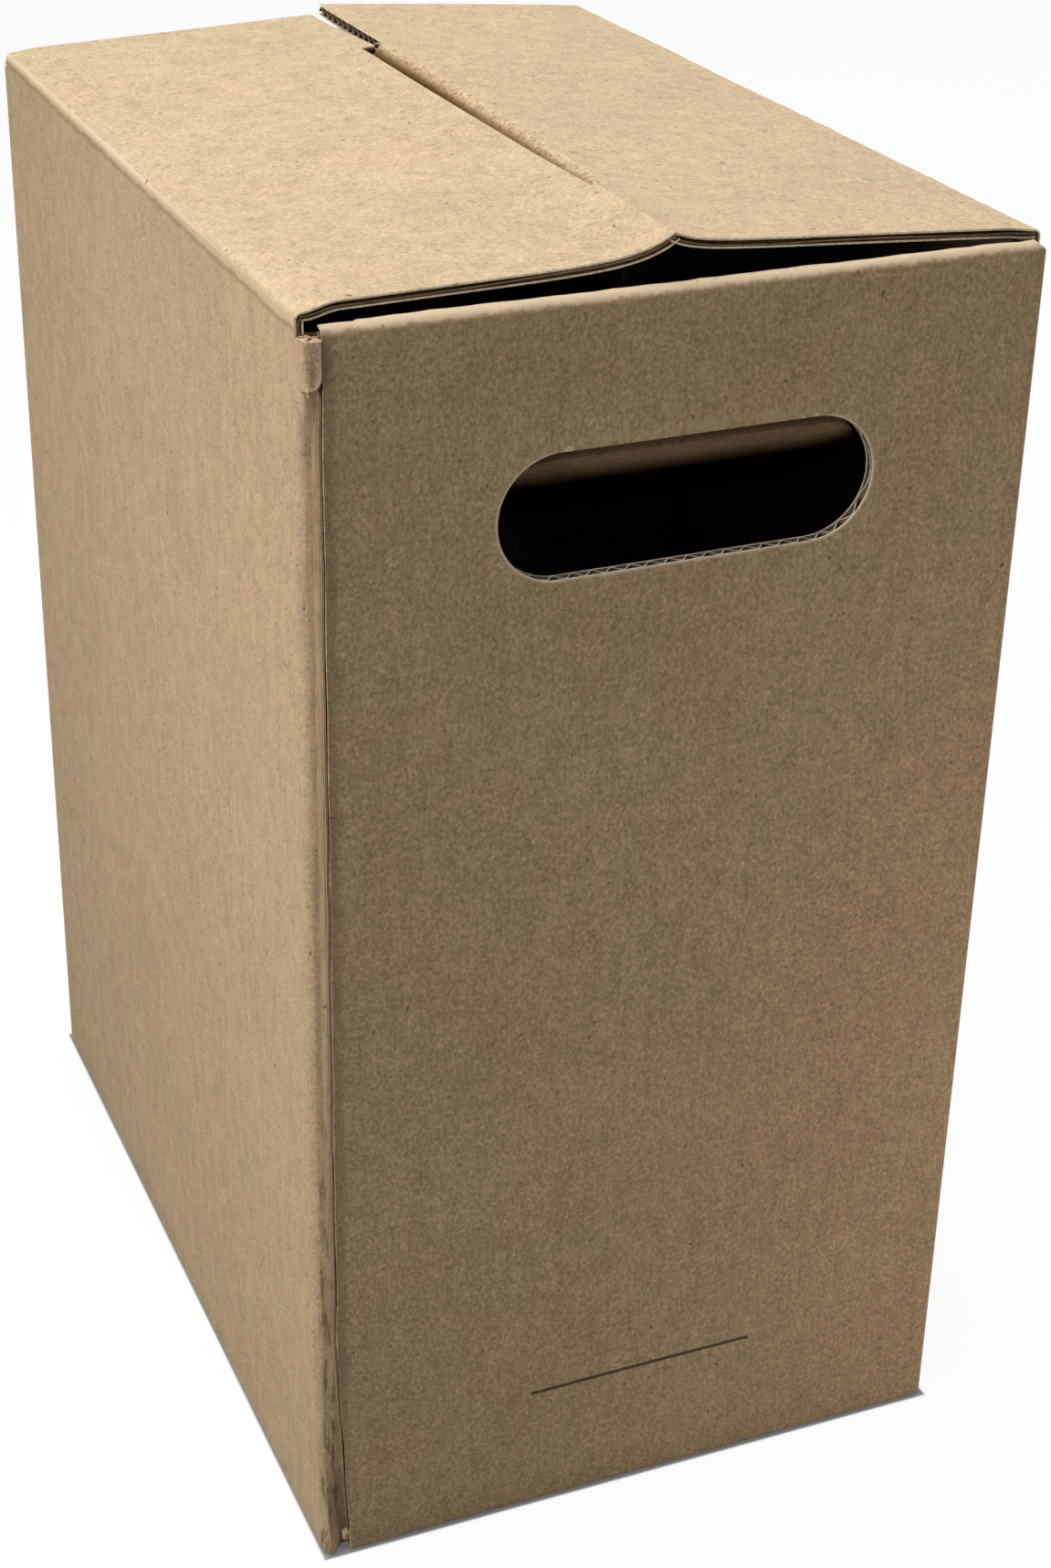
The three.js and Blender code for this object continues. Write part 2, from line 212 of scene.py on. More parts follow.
def patch(along: Sequence[float], across: Sequence[float], place: Place, depth: Depth, outward: int) -> Piece:
    """Adds a grid primitive and lays it on a surface, or at a depth under it.

    Args:
        along: Parameters of the grid's columns, along the flutes.
        across: Parameters of the grid's rows, across the flutes.
        place: The surface.
        depth: Depth under the surface at each pair of parameters.
        outward: Which way the surface faces, as for surface_point.

    Returns:
        The grid as an object, with its faces outwards. Its own UV map runs from 0 to 1 both ways.
    """
    deselect()
    columns = len(along) - 1
    rows = len(across) - 1
    bpy.ops.mesh.primitive_grid_add(x_subdivisions=columns, y_subdivisions=rows, size=1)
    piece = bpy.context.object
    spots = []
    for v in across:
        for u in along:
            spots.extend(surface_point(place, u, v, depth(u, v), outward) * MM)
    piece.data.vertices.foreach_set("co", spots)
    if outward < 0:
        piece.data.flip_normals()
    piece.data.update()
    return piece


def on_face(_along: float, _across: float) -> float:
    """Returns the depth of the outer liner's outer face."""
    return 0.0


def on_inner_liner(_along: float, _across: float) -> float:
    """Returns the depth of the inner liner's upper face."""
    return BOARD.caliper - BOARD.liner


@dataclass(frozen=True)
class Layer:
    """One layer of board. Its offset is -1 to thicken inwards from its patches, and 0 to thicken evenly."""

    name: str
    thickness: float = BOARD.liner
    offset: float = -1

    def make(
        self, patches: Sequence[Piece], face: Material, cut: Material, cutter: Piece | None = None
    ) -> Piece:
        """Welds the patches, thickens them and cuts the holes.

        Args:
            patches: The grids that make up the layer.
            face: Material of the layer's two faces.
            cut: Material of its cut edges.
            cutter: Closed shapes to cut out, if there are any.

        Returns:
            The layer as one closed object.
        """
        piece = join(patches, self.name)
        weld(piece)
        piece.data.materials.clear()
        add_materials(piece, face, cut)
        apply_modifier(
            piece,
            "SOLIDIFY",
            thickness=self.thickness * MM,
            offset=self.offset,
            material_offset_rim=int(Slot.CUT),
            use_quality_normals=True,
        )
        if cutter:
            apply_modifier(piece, "BOOLEAN", operation="DIFFERENCE", object=cutter, solver="EXACT")
        return piece


class Nodes:
    """Short ways to add and link nodes in one node tree."""

    def __init__(self, tree: bpy.types.NodeTree) -> None:
        """Keeps the tree that nodes are added to."""
        self.tree = tree

    def add(self, kind: str, **settings: object) -> bpy.types.Node:
        """Adds a node and sets its properties.

        Args:
            kind: Blender's type name without the ShaderNode part.
            settings: Values of the node's own properties.

        Returns:
            The new node.
        """
        node = self.tree.nodes.new("ShaderNode" + kind)
        for name, value in settings.items():
            setattr(node, name, value)
        return node

    def feed(self, socket: Socket, value: Socket | float | Sequence[float]) -> None:
        """Links a socket, or sets a plain value on it."""
        if isinstance(value, bpy.types.NodeSocket):
            self.tree.links.new(value, socket)
        else:
            socket.default_value = value

    def math(self, operation: str, *values: Socket | float, clamp: bool = False) -> Socket:
        """Adds a Math node and returns its result."""
        node = self.add("Math", operation=operation, use_clamp=clamp)
        for socket, value in zip(node.inputs, values):
            self.feed(socket, value)
        return node.outputs[0]

    def noise(self, vector: Socket, scale: float, detail: float = 2.0, roughness: float = 0.5) -> Socket:
        """Adds a Noise Texture and returns its value."""
        node = self.add("TexNoise")
        self.feed(node.inputs["Vector"], vector)
        self.feed(node.inputs["Scale"], scale)
        self.feed(node.inputs["Detail"], detail)
        self.feed(node.inputs["Roughness"], roughness)
        return node.outputs[0]

    def stretched(self, vector: Socket, scale: Sequence[float]) -> Socket:
        """Scales a vector by three factors and returns it."""
        node = self.add("Mapping")
        self.feed(node.inputs["Vector"], vector)
        self.feed(node.inputs["Scale"], scale)
        return node.outputs[0]

    def product(self, *factors: Socket | float) -> Socket:
        """Returns the product of masks and numbers."""
        result = factors[0]
        for factor in factors[1:]:
            result = self.math("MULTIPLY", result, factor)
        return result

    def centred(self, value: Socket) -> Socket:
        """Shifts a noise value, so that it lies about 0."""
        return self.math("SUBTRACT", value, 0.5)

    def ramp(
        self, value: Socket, low: float, high: float, to_low: float = 0.0, to_high: float = 1.0
    ) -> Socket:
        """Maps a value from one range to another, clamped and smooth at both ends."""
        node = self.add("MapRange", interpolation_type="SMOOTHSTEP")
        for socket, number in zip(node.inputs, (value, low, high, to_low, to_high)):
            self.feed(socket, number)
        return node.outputs[0]

    def mix(self, share: Socket, first: Socket | Sequence[float], second: Socket | Sequence[float]) -> Socket:
        """Mixes two colours and returns the result."""
        node = self.add("Mix", data_type="RGBA")
        self.feed(node.inputs[0], share)
        self.feed(node.inputs[6], first)
        self.feed(node.inputs[7], second)
        return node.outputs[2]

    def scaled(self, colour: Socket | Sequence[float], factor: Socket) -> Socket:
        """Multiplies a colour by a number and returns the result."""
        node = self.add("VectorMath", operation="SCALE")
        self.feed(node.inputs[0], colour)
        self.feed(node.inputs["Scale"], factor)
        return node.outputs[0]

    def split(self, vector: Socket) -> tuple[Socket, Socket, Socket]:
        """Splits a vector into its three parts."""
        node = self.add("SeparateXYZ")
        self.feed(node.inputs[0], vector)
        return node.outputs[0], node.outputs[1], node.outputs[2]


def make_grain_group() -> bpy.types.NodeTree:
    """Builds the paper grain that all the board's materials share.

    Returns:
        A node group from a place to a tone, which lies about 1, and a height for bumps.
    """
    group = bpy.data.node_groups.new("paper_grain", "ShaderNodeTree")
    face = group.interface
    face.new_socket("Place", in_out="INPUT", socket_type="NodeSocketVector")
    face.new_socket("Strength", in_out="INPUT", socket_type="NodeSocketFloat")
    face.new_socket("Tone", in_out="OUTPUT", socket_type="NodeSocketFloat")
    face.new_socket("Height", in_out="OUTPUT", socket_type="NodeSocketFloat")
    nodes = Nodes(group)
    source = group.nodes.new("NodeGroupInput")
    sink = group.nodes.new("NodeGroupOutput")
    place = source.outputs["Place"]
    cloud = nodes.noise(place, 30, 2)
    mottle = nodes.noise(place, 190, 4, 0.65)
    grain = nodes.noise(place, 1100, 2, 0.7)
    streak = nodes.noise(nodes.stretched(place, (600, 600, 60)), 1, 2)
    fibre = nodes.ramp(nodes.noise(nodes.stretched(place, (1300, 420, 420)), 1, 2), 0.6, 0.75)
    dark = nodes.ramp(nodes.noise(nodes.stretched(place, (520, 520, 900)), 1, 1), 0.62, 0.78)
    tone = nodes.math("MULTIPLY", nodes.centred(cloud), 0.2)
    for part, weight in ((mottle, 0.6), (grain, 1.1), (streak, 0.34)):
        tone = nodes.math("MULTIPLY_ADD", nodes.centred(part), weight, tone)
    for marks, weight in ((fibre, 0.2), (dark, -0.3)):
        tone = nodes.math("MULTIPLY_ADD", marks, weight, tone)
    nodes.feed(sink.inputs["Tone"], nodes.math("MULTIPLY_ADD", tone, source.outputs["Strength"], 1.0))
    height = nodes.math("MULTIPLY_ADD", grain, 0.5, nodes.math("MULTIPLY", mottle, 0.9))
    nodes.feed(sink.inputs["Height"], height)
    return group


class Spot:
    """The place on a piece that masks work on, with its three parts. Lengths are in millimetres."""

    def __init__(self, nodes: Nodes, place: Socket) -> None:
        """Splits a place into its parts."""
        self.nodes = nodes
        self.place = place
        self.x, self.y, self.z = nodes.split(place)

    def ragged(self, value: Socket, swing: float) -> Socket:
        """Moves a coordinate up and down by noise, so that a mask's border on it is ragged."""
        amount = self.nodes.centred(self.nodes.noise(self.place, 230, 4, 0.65))
        return self.nodes.math("MULTIPLY_ADD", amount, swing * MM, value)

    def off(self, value: Socket, middle: float) -> Socket:
        """Returns how far a coordinate lies from a middle."""
        return self.nodes.math("ABSOLUTE", self.nodes.math("SUBTRACT", value, middle * MM))

    def under(self, value: Socket, limit: float) -> Socket:
        """Returns a mask of the places where a coordinate is less than a limit."""
        return self.nodes.math("LESS_THAN", value, limit * MM)

    def ramp(
        self, value: Socket, low: float, high: float, to_low: float = 0.0, to_high: float = 1.0
    ) -> Socket:
        """Maps a coordinate from one range to another, clamped and smooth at both ends."""
        return self.nodes.ramp(value, low * MM, high * MM, to_low, to_high)

    def grain(self, scale: Sequence[float], detail: float, roughness: float = 0.5) -> Socket:
        """Returns noise that is stretched by three factors."""
        return self.nodes.noise(self.nodes.stretched(self.place, scale), 1, detail, roughness)


@dataclass(frozen=True)
class PaperFinish:
    """A paper surface with mottled grain. Colours are linear RGB."""

    name: str
    colour: tuple[float, float, float]
    roughness: float
    grain: float
    bump: float
    specular: float = 0.2
    bump_height: float = 0.16
    warm_tint: tuple[float, float, float] = (1.015, 0.98, 0.98)
    olive_tint: tuple[float, float, float] = (0.985, 1.005, 0.975)

    def tinted(self, tint: Sequence[float]) -> tuple[float, ...]:
        """Returns the paper's colour times a tint, with full opacity."""
        return (*(part * factor for part, factor in zip(self.colour, tint)), 1)

    def build(self, grain: bpy.types.NodeTree) -> Material:
        """Builds the material from the shared paper grain."""
        material = bpy.data.materials.new(self.name)
        material.use_nodes = True
        nodes = Nodes(material.node_tree)
        shader = material.node_tree.nodes["Principled BSDF"]
        shader.inputs["Roughness"].default_value = self.roughness
        shader.inputs["Specular IOR Level"].default_value = self.specular
        place = nodes.add("TexCoord").outputs["Object"]
        group = nodes.add("Group")
        group.node_tree = grain
        nodes.feed(group.inputs["Place"], place)
        group.inputs["Strength"].default_value = self.grain
        bump = nodes.add("Bump")
        bump.inputs["Strength"].default_value = self.bump
        bump.inputs["Distance"].default_value = self.bump_height * MM
        nodes.feed(bump.inputs["Height"], group.outputs["Height"])
        nodes.feed(shader.inputs["Normal"], bump.outputs[0])
        drift = nodes.ramp(nodes.noise(place, 45, 3, 0.6), 0.38, 0.62)
        paper = nodes.mix(drift, self.tinted(self.warm_tint), self.tinted(self.olive_tint))
        colour = nodes.scaled(paper, group.outputs["Tone"])
        nodes.feed(shader.inputs["Base Color"], self.marked(nodes, place, colour))
        return material

    def marked(self, _nodes: Nodes, _place: Socket, colour: Socket) -> Socket:
        """Adds the surface's own marks to its colour. Plain paper has none."""
        return colour


@dataclass(frozen=True)
class OuterLiner(PaperFinish):
    """The outside of the box, with its printed rule and dark specks, folds and creases lightened by rubbed
    wear and a painted highlight, painted light on the glue tab and a painted shadow along the front panel's
    edge. Millimetres.
    """

    # The next colour lightens folds, creases and the hand hole's ridge: partly rubbed wear, partly a painted
    # highlight.
    worn_and_highlight_colour: Colour = (0.57, 0.435, 0.285, 1)
    border_colour: Colour = (0.30, 0.19, 0.11, 1)
    # The next colour serves the scuffs on the glued corner and the painted shadow along the front panel's
    # edge.
    scuff_and_shadow_colour: Colour = (0.17, 0.105, 0.058, 1)
    # The next colour is painted light on the glue tab.
    strip_light_colour: Colour = (0.74, 0.56, 0.37, 1)
    ink_colour: Colour = (0.03, 0.02, 0.014, 1)
    torn_colour: Colour = (0.72, 0.62, 0.48, 1)
    fleck_strength: float = 1.8
    fold_height: float = 318.5
    fold_top: float = 320.4
    fold_ragged: float = 3.2
    crease_reach: float = 82.8
    crease_height: float = 321.4
    corner: Span = (-83.2, -125.2)
    strip_edge: float = -81.6
    strip_depth: float = 2.2
    strip_top: float = 306.0
    panel_edge: float = -81.45
    shade_reach: Span = (-78.0, -80.6)
    rule_height: float = 36.1
    rule_centre: float = -0.15
    rule_half_length: float = 30.35
    rule_half_width: float = 0.5
    front_face: float = -126.0
    ridge_height: float = 288.6
    ridge_half_length: float = 29.5
    hole: tuple[tuple[float, float], float, float] = ((1.0, 272.3), 30.0, 14.5)
    nicks: tuple[tuple[float, float, float, float], ...] = (
        (-27.6, -127.2, 286.8, 0.75),
        (-30.4, -127.2, 286.2, 0.6),
        (30.6, -127.2, 286.9, 0.8),
        (27.4, -127.2, 287.0, 0.5),
    )

    def marked(self, nodes: Nodes, place: Socket, colour: Socket) -> Socket:
        """Adds the flecks of the front, and then each mask's colour over the ones before it."""
        spot = Spot(nodes, place)
        flecks = nodes.centred(spot.grain((1150, 1150, 750), 3, 0.75))
        depth = nodes.math("MULTIPLY", flecks, self.fleck_strength)
        colour = nodes.scaled(colour, nodes.math("MULTIPLY_ADD", depth, self.in_front(spot), 1.0))
        for mask, paint in (
            (self.fold_border, self.border_colour),
            (self.fold_mask, self.worn_and_highlight_colour),
            (self.crease_mask, self.worn_and_highlight_colour),
            (self.ridge_mask, self.worn_and_highlight_colour),
            (self.strip_light_mask, self.strip_light_colour),
            (self.shade_mask, self.scuff_and_shadow_colour),
            (self.corner_mask, self.scuff_and_shadow_colour),
            (self.rule_mask, self.ink_colour),
            (self.rim_mask, self.torn_colour),
        ):
            colour = nodes.mix(mask(spot), colour, paint)
        for nick in self.nicks:
            colour = nodes.mix(self.nick_mask(spot, nick), colour, self.torn_colour)
        speck = nodes.ramp(nodes.noise(place, 620, 0), 0.82, 0.86, 0, 0.6)
        return nodes.mix(speck, colour, self.ink_colour)

    def in_front(self, spot: Spot) -> Socket:
        """Returns a mask of the front end's face."""
        return spot.under(spot.y, self.front_face)

    def fold_mask(self, spot: Spot) -> Socket:
        """Returns a mask of the lighter strip on the folds at the top of both ends: partly rubbed wear,
        partly a painted highlight on the fold's crest.
        """
        height = spot.ragged(spot.z, self.fold_ragged)
        above = spot.ramp(height, self.fold_height - 0.5, self.fold_height + 0.5)
        return spot.nodes.product(above, spot.under(spot.z, self.fold_top), 0.75)

    def fold_border(self, spot: Spot) -> Socket:
        """Returns a mask of the brown border under the lighter fold strip."""
        height = spot.ragged(spot.z, self.fold_ragged)
        return spot.ramp(spot.off(height, self.fold_height - 0.7), 0.9, 0.2, 0, 0.6)

    def crease_mask(self, spot: Spot) -> Socket:
        """Returns a mask of the lighter creases of the long flaps: partly rubbed wear, partly a painted
        highlight on the crease's curve.
        """
        reach = spot.ragged(spot.off(spot.x, 0), 4.0)
        outside = spot.ramp(reach, self.crease_reach - 0.5, self.crease_reach + 0.4)
        height = spot.ragged(spot.z, 4.5)
        above = spot.ramp(height, self.crease_height - 0.4, self.crease_height + 0.4)
        return spot.nodes.product(outside, above, 0.4)

    def ridge_mask(self, spot: Spot) -> Socket:
        """Returns a mask of the pale ridge above a hand hole's fold: crushed flutes, and a painted highlight
        on the fold's crest.
        """
        near = spot.ramp(spot.ragged(spot.off(spot.z, self.ridge_height), 2.5), 2.2, 0.6)
        inside = spot.under(spot.off(spot.x, 0), self.ridge_half_length)
        teeth = spot.nodes.ramp(spot.grain((700, 700, 120), 1), 0.35, 0.75, 0.1, 0.75)
        return spot.nodes.product(near, inside, self.in_front(spot), teeth)

    def corner_mask(self, spot: Spot) -> Socket:
        """Returns a mask of the dark scuffs along the glued corner, weaker high up."""
        off_x = spot.off(spot.x, self.corner[0])
        off_y = spot.off(spot.y, self.corner[1])
        away = spot.ragged(spot.nodes.math("ADD", off_x, off_y), 5.0)
        dashes = spot.nodes.ramp(spot.grain((700, 700, 75), 4, 0.7), 0.46, 0.6, 0.1, 0.9)
        near_bottom = spot.ramp(spot.z, 150, 70, 0.3, 1.0)
        return spot.nodes.product(spot.ramp(away, 4.6, 2.4), dashes, near_bottom)

    def rim_mask(self, spot: Spot) -> Socket:
        """Returns a mask of the pale cut rim round a hand hole, apart from the fold on top."""
        nodes = spot.nodes
        (centre_x, centre_z), half, radius = self.hole
        past_straight = nodes.math("SUBTRACT", spot.off(spot.x, centre_x), half * MM)
        over = nodes.math("MAXIMUM", past_straight, 0.0)
        up = nodes.math("SUBTRACT", spot.z, centre_z * MM)
        squares = nodes.math("ADD", nodes.product(over, over), nodes.product(up, up))
        away = nodes.math("SUBTRACT", nodes.math("SQRT", squares), radius * MM)
        near = spot.ramp(spot.ragged(away, 0.9), 0.62, 0.3)
        folded = nodes.math("GREATER_THAN", nodes.math("SUBTRACT", up, over), (radius - 2.0) * MM)
        return nodes.product(near, nodes.math("SUBTRACT", 1.0, folded), self.in_front(spot), 0.85)

    def nick_mask(self, spot: Spot, nick: Sequence[float]) -> Socket:
        """Returns a mask of one torn nick, given as its place and its radius."""
        *middle, radius = nick
        away = spot.nodes.add("VectorMath", operation="DISTANCE")
        spot.nodes.feed(away.inputs[0], spot.place)
        spot.nodes.feed(away.inputs[1], [value * MM for value in middle])
        return spot.ramp(spot.ragged(away.outputs["Value"], 3.4), radius * 1.1, radius * 0.8)

    def strip_light_mask(self, spot: Spot) -> Socket:
        """Returns a mask of painted light on the glue tab beside the front panel, streaky, and weaker near
        the bottom so that the tab is browner there.
        """
        outside = spot.under(spot.x, self.strip_edge)
        ahead = spot.under(spot.y, self.corner[1] + self.strip_depth)
        streaky = spot.nodes.ramp(spot.grain((900, 900, 110), 3, 0.65), 0.35, 0.62, 0.35, 1.0)
        share = spot.ramp(spot.z, 60, 170, 0.2, 0.8)
        return spot.nodes.product(outside, ahead, streaky, share, spot.under(spot.z, self.strip_top))

    def shade_mask(self, spot: Spot) -> Socket:
        """Returns a mask of the painted shadow: a soft dark band on the front panel along its free edge."""
        reach = spot.ramp(spot.ragged(spot.x, 4.0), *self.shade_reach, 0, 0.42)
        inside = spot.nodes.math("GREATER_THAN", spot.x, self.panel_edge * MM)
        return spot.nodes.product(reach, self.in_front(spot), inside)

    def rule_mask(self, spot: Spot) -> Socket:
        """Returns a mask of the thin printed rule low on the front end."""
        in_length = spot.under(spot.off(spot.x, self.rule_centre), self.rule_half_length)
        in_width = spot.under(spot.off(spot.z, self.rule_height), self.rule_half_width)
        return spot.nodes.product(in_length, in_width, self.in_front(spot), 0.88)


@dataclass(frozen=True)
class PaintedShadeLiner(PaperFinish):
    """The liner of a hand-hole tab, with painted shade that darkens it away from its fold. Millimetres."""

    specular: float = 0.0
    light_until: float = 124.5
    dark_from: float = 115.5
    lightest: float = 0.8

    def marked(self, nodes: Nodes, place: Socket, colour: Socket) -> Socket:
        """Paints shade: darkens the colour away from the fold, down to black."""
        spot = Spot(nodes, place)
        # Painted shade: the tab's colour darkens away from its fold.
        light = spot.ramp(spot.off(spot.y, 0), self.dark_from, self.light_until, 0, self.lightest)
        return nodes.scaled(colour, light)


@dataclass(frozen=True)
class PittedFold(PaperFinish):
    """The liner over the tongue's fold, pitted, with painted shade that turns it deep brown the further it
    goes down.

    It reads the piece's UV map, whose U runs from 0 at the fold's start to 1 at the tongue's tip.
    """

    deep_shade_colour: Colour = (0.26, 0.135, 0.045, 1)
    pit_colour: Colour = (0.2, 0.115, 0.05, 1)
    pits_from: float = 0.02
    pits_full: float = 0.14
    light_until: float = 0.12
    deep_from: float = 0.5
    ragged: float = 0.14

    def marked(self, nodes: Nodes, place: Socket, colour: Socket) -> Socket:
        """Adds the pits, and the painted shade that turns the colour deep brown with depth."""
        down, _sideways, _none = nodes.split(nodes.add("TexCoord").outputs["UV"])
        amount = nodes.centred(nodes.noise(place, 260, 3, 0.6))
        reach = nodes.math("MULTIPLY_ADD", amount, self.ragged, down)
        pits = nodes.ramp(nodes.noise(nodes.stretched(place, (950, 600, 950)), 1, 1), 0.56, 0.66, 0, 0.75)
        near = nodes.ramp(reach, self.pits_from, self.pits_full)
        colour = nodes.mix(nodes.product(pits, near), colour, self.pit_colour)
        # Painted shade: the colour turns deep brown down the tongue.
        return nodes.mix(nodes.ramp(reach, self.light_until, self.deep_from), colour, self.deep_shade_colour)


@dataclass
class Finishes:
    """All the materials of the box."""

    outer: Material
    inner: Material
    medium: Material
    cut: Material
    divider: Material
    tab: Material
    pitted: Material

    @classmethod
    def make(cls) -> "Finishes":
        """Builds the materials."""
        grain = make_grain_group()
        finishes = (
            OuterLiner("outer_liner", (0.465, 0.345, 0.215), 0.82, 0.9, 0.75),
            PaperFinish("inner_liner", (0.40, 0.295, 0.185), 0.88, 0.8, 0.4),
            PaperFinish("fluted_medium", (0.22, 0.15, 0.085), 0.92, 1.2, 0.5),
            PaperFinish("cut_edge", (0.88, 0.78, 0.63), 0.9, 1.0, 0.6),
            PaperFinish("divider_board", (0.42, 0.33, 0.23), 0.9, 1.0, 0.4),
            PaintedShadeLiner("tab_liner_painted_shade", (0.27, 0.19, 0.115), 0.95, 0.9, 0.5),
            PittedFold("pitted_crease_painted_shade", (0.47, 0.345, 0.21), 0.9, 1.4, 1.0),
        )
        return cls(*(finish.build(grain) for finish in finishes))


@dataclass(frozen=True)
class FlapForm:
    """How a long top flap is bent, at its front and back ends. Millimetres."""

    front_level: float
    back_level: float
    front_slope: float
    back_slope: float
    curl: float
    curl_reach: float
    shoulder: float
    sag: float
    sag_start: float


@dataclass(frozen=True)
class BoxSizes:
    """Sizes of the box over the outside of its board. Millimetres, with the origin at the base's middle."""

    width: float = 171.0
    length: float = 254.0
    end_fold_top: float = 319.6
    corner_radius: float = 3.2
    glued_corner_radius: float = 1.7
    joint_inset: float = 4.0
    glue_tab_width: float = 35.0
    end_fold_radius: float = 2.6
    long_flap_inset: float = 5.0

    @property
    def half_width(self) -> float:
        """Returns half of the width."""
        return self.width / 2

    @property
    def half_length(self) -> float:
        """Returns half of the length."""
        return self.length / 2

    @property
    def sleeve_top(self) -> float:
        """Returns the height where the panels end and the folds begin."""
        return self.end_fold_top - self.end_fold_radius


SIZES = BoxSizes()


@dataclass
class LongFlap:
    """A long top flap, bent from its crease on the side panel to the seam. Millimetres."""

    name: str
    body: str
    node: str
    side: int
    form: FlapForm
    crease_gap: float = 0.3
    closed_gap: float = 0.05
    crease_radius: float = 1.7
    crease_crush: float = 0.42
    upright_share: float = 0.3
    front_crush: float = 0.68
    wrinkle: float = 0.24
    sway: float = 0.25
    flute_drift: float = 0.9
    curl_inset: float = 0.15
    shoulder_reach: Span = (1.5, 9.0)
    shoulder_fade: float = 0.6
    sag_width: float = 84.0
    crush_reach: Span = (1.0, 9.0)
    crease_end: Span = (1.0, 1.07)
    row_spread: float = 1.15
    step_width: float = 0.06
    step_slack: float = 0.02
    warp_length: float = 120.0
    seam_shift_front: float = -3.0
    seam_shift_back: float = 1.5
    seam_gap: float = 0.05
    tongue_start: float = 46.0
    tongue_length: float = 146.0
    tongue_depth: float = 36.0
    tongue_crease: float = 3.3
    tongue_lean: float = 14.0

    @property
    def tongue_face(self) -> Place | None:
        """Returns the surface whose outer liner is a layer of its own, if the flap has one."""
        return None

    @property
    def tongue_front(self) -> float:
        """Returns the place along Y where the tongue begins."""
        return self.tongue_start - SIZES.half_length

    @property
    def tongue_back(self) -> float:
        """Returns the place along Y where the tongue ends."""
        return self.tongue_front + self.tongue_length

    @property
    def end(self) -> float:
        """Returns half of the flap's own length."""
        return SIZES.half_length - SIZES.long_flap_inset

    def seam(self, y: float) -> float:
        """Returns the seam's place across the box."""
        return lerp(self.seam_shift_front, self.seam_shift_back, (y + SIZES.half_length) / SIZES.length)

    def edge(self, y: float) -> float:
        """Returns how far the flap reaches in from its side panel."""
        return SIZES.half_width - self.side * self.seam(y) - self.seam_gap / 2

    def level(self, y: float) -> float:
        """Returns how high the flap lies over the top of the side panel beside its crease."""
        return lerp(self.form.front_level, self.form.back_level, self.fade(y))

    def fade(self, y: float) -> float:
        """Returns how far the warp at the front end has faded."""
        return smoothstep(y, -self.end, self.warp_length - self.end)

    def height(self, distance: float, y: float) -> float:
        """Returns the height of the upper face at a distance in from the side panel."""
        fade = self.fade(y)
        level = self.level(y)
        slope = lerp(self.form.front_slope, self.form.back_slope, fade)
        edge = SIZES.half_width - self.side * self.seam(y) - self.curl_inset
        curl = self.form.curl * (1 - fade) * math.exp((distance - edge) / self.form.curl_reach)
        shoulder = self.form.shoulder * (1 - smoothstep(distance, *self.shoulder_reach))
        shoulder *= 1 - self.shoulder_fade * fade
        sag = self.form.sag * smoothstep(y, self.form.sag_start, self.end) * distance / self.sag_width
        base = SIZES.sleeve_top + self.crease_gap + level
        return base + slope * (distance - level) + curl - shoulder - sag

    def last(self, y: float) -> float:
        """Returns the distance where the flat of the flap ends and its rim begins."""
        return self.edge(y) - self.tongue_crease

    def sheet(self, along: float, y: float) -> Vector:
        """Returns the point of the upper face.

        Args:
            along: 0 to 0.4 up the side, on to 1 over the crease and on to 2 over the flat.
            y: Place along the box.

        Returns:
            The point in millimetres.
        """
        radius = self.crease_radius
        wrinkle = self.wrinkle * wobble(along * 3, y, self.side * 40, 2.8) * smoothstep(2 - along, 0, 0.9)
        centre = self.flat(radius, y)
        base = SIZES.sleeve_top + self.closed_gap
        if along < self.upright_share:
            z = lerp(base, centre.z - radius, along / self.upright_share)
            return Vector((self.side * SIZES.half_width, y, z))
        if along < 1:
            share = (along - self.upright_share) / (1 - self.upright_share)
            angle = share * math.pi / 2
            reach = radius + wrinkle * math.sin(angle)
            x = SIZES.half_width - radius + reach * math.cos(angle)
            return Vector((self.side * x, y, centre.z - radius + reach * math.sin(angle)))
        distance = radius + (self.last(y) - radius) * (along - 1)
        return self.flat(distance, y, wrinkle * smoothstep(1.25 - along, 0, 0.25))

    def crush(self, along: float, y: float) -> float:
        """Returns the board's thickness as a share of its own: less at the crease and the front end."""
        creased = 1 - self.crease_crush * (1 - smoothstep(along, *self.crease_end))
        front = self.front_crush + (1 - self.front_crush) * smoothstep(y + self.end, *self.crush_reach)
        return min(creased, front)

    def flat(self, distance: float, y: float, rise: float = 0.0) -> Vector:
        """Returns a point of the upper face at a distance in from the side panel."""
        sway = self.sway * wobble(distance, y, self.side * 90, 45)
        return Vector((self.side * (SIZES.half_width - distance), y, self.height(distance, y) + rise + sway))

    def rim(self, along: float, y: float) -> Vector:
        """Returns a point of the last strip before the seam: along runs from 0 to 1."""
        return self.flat(self.last(y) + self.tongue_crease * along, y)

    @property
    def step_rows(self) -> list[float]:
        """Returns the places along Y where the seam edge steps."""
        return [self.tongue_front, self.tongue_back]

    def with_steps(self, rows: Sequence[float], room: float) -> list[float]:
        """Adds the rows at the steps, and drops those that lie closer than room to the tongue's ends."""
        tips = (self.tongue_front, self.tongue_back)
        kept = [y for y in rows if min(abs(y - tip) for tip in tips) > room]
        return sorted([*kept, *self.step_rows])

    def rows(self) -> list[float]:
        """Returns the places along Y of the flap's cross-sections, closer together at the front."""
        span = 2 * self.end
        return self.with_steps([span * share**self.row_spread - self.end for share in steps(0, 1, 84)], 0.4)

    def fine_rows(self) -> list[float]:
        """Returns the close places along Y of the medium."""
        return self.with_steps(BOARD.fine(-self.end, self.end), 0.2)

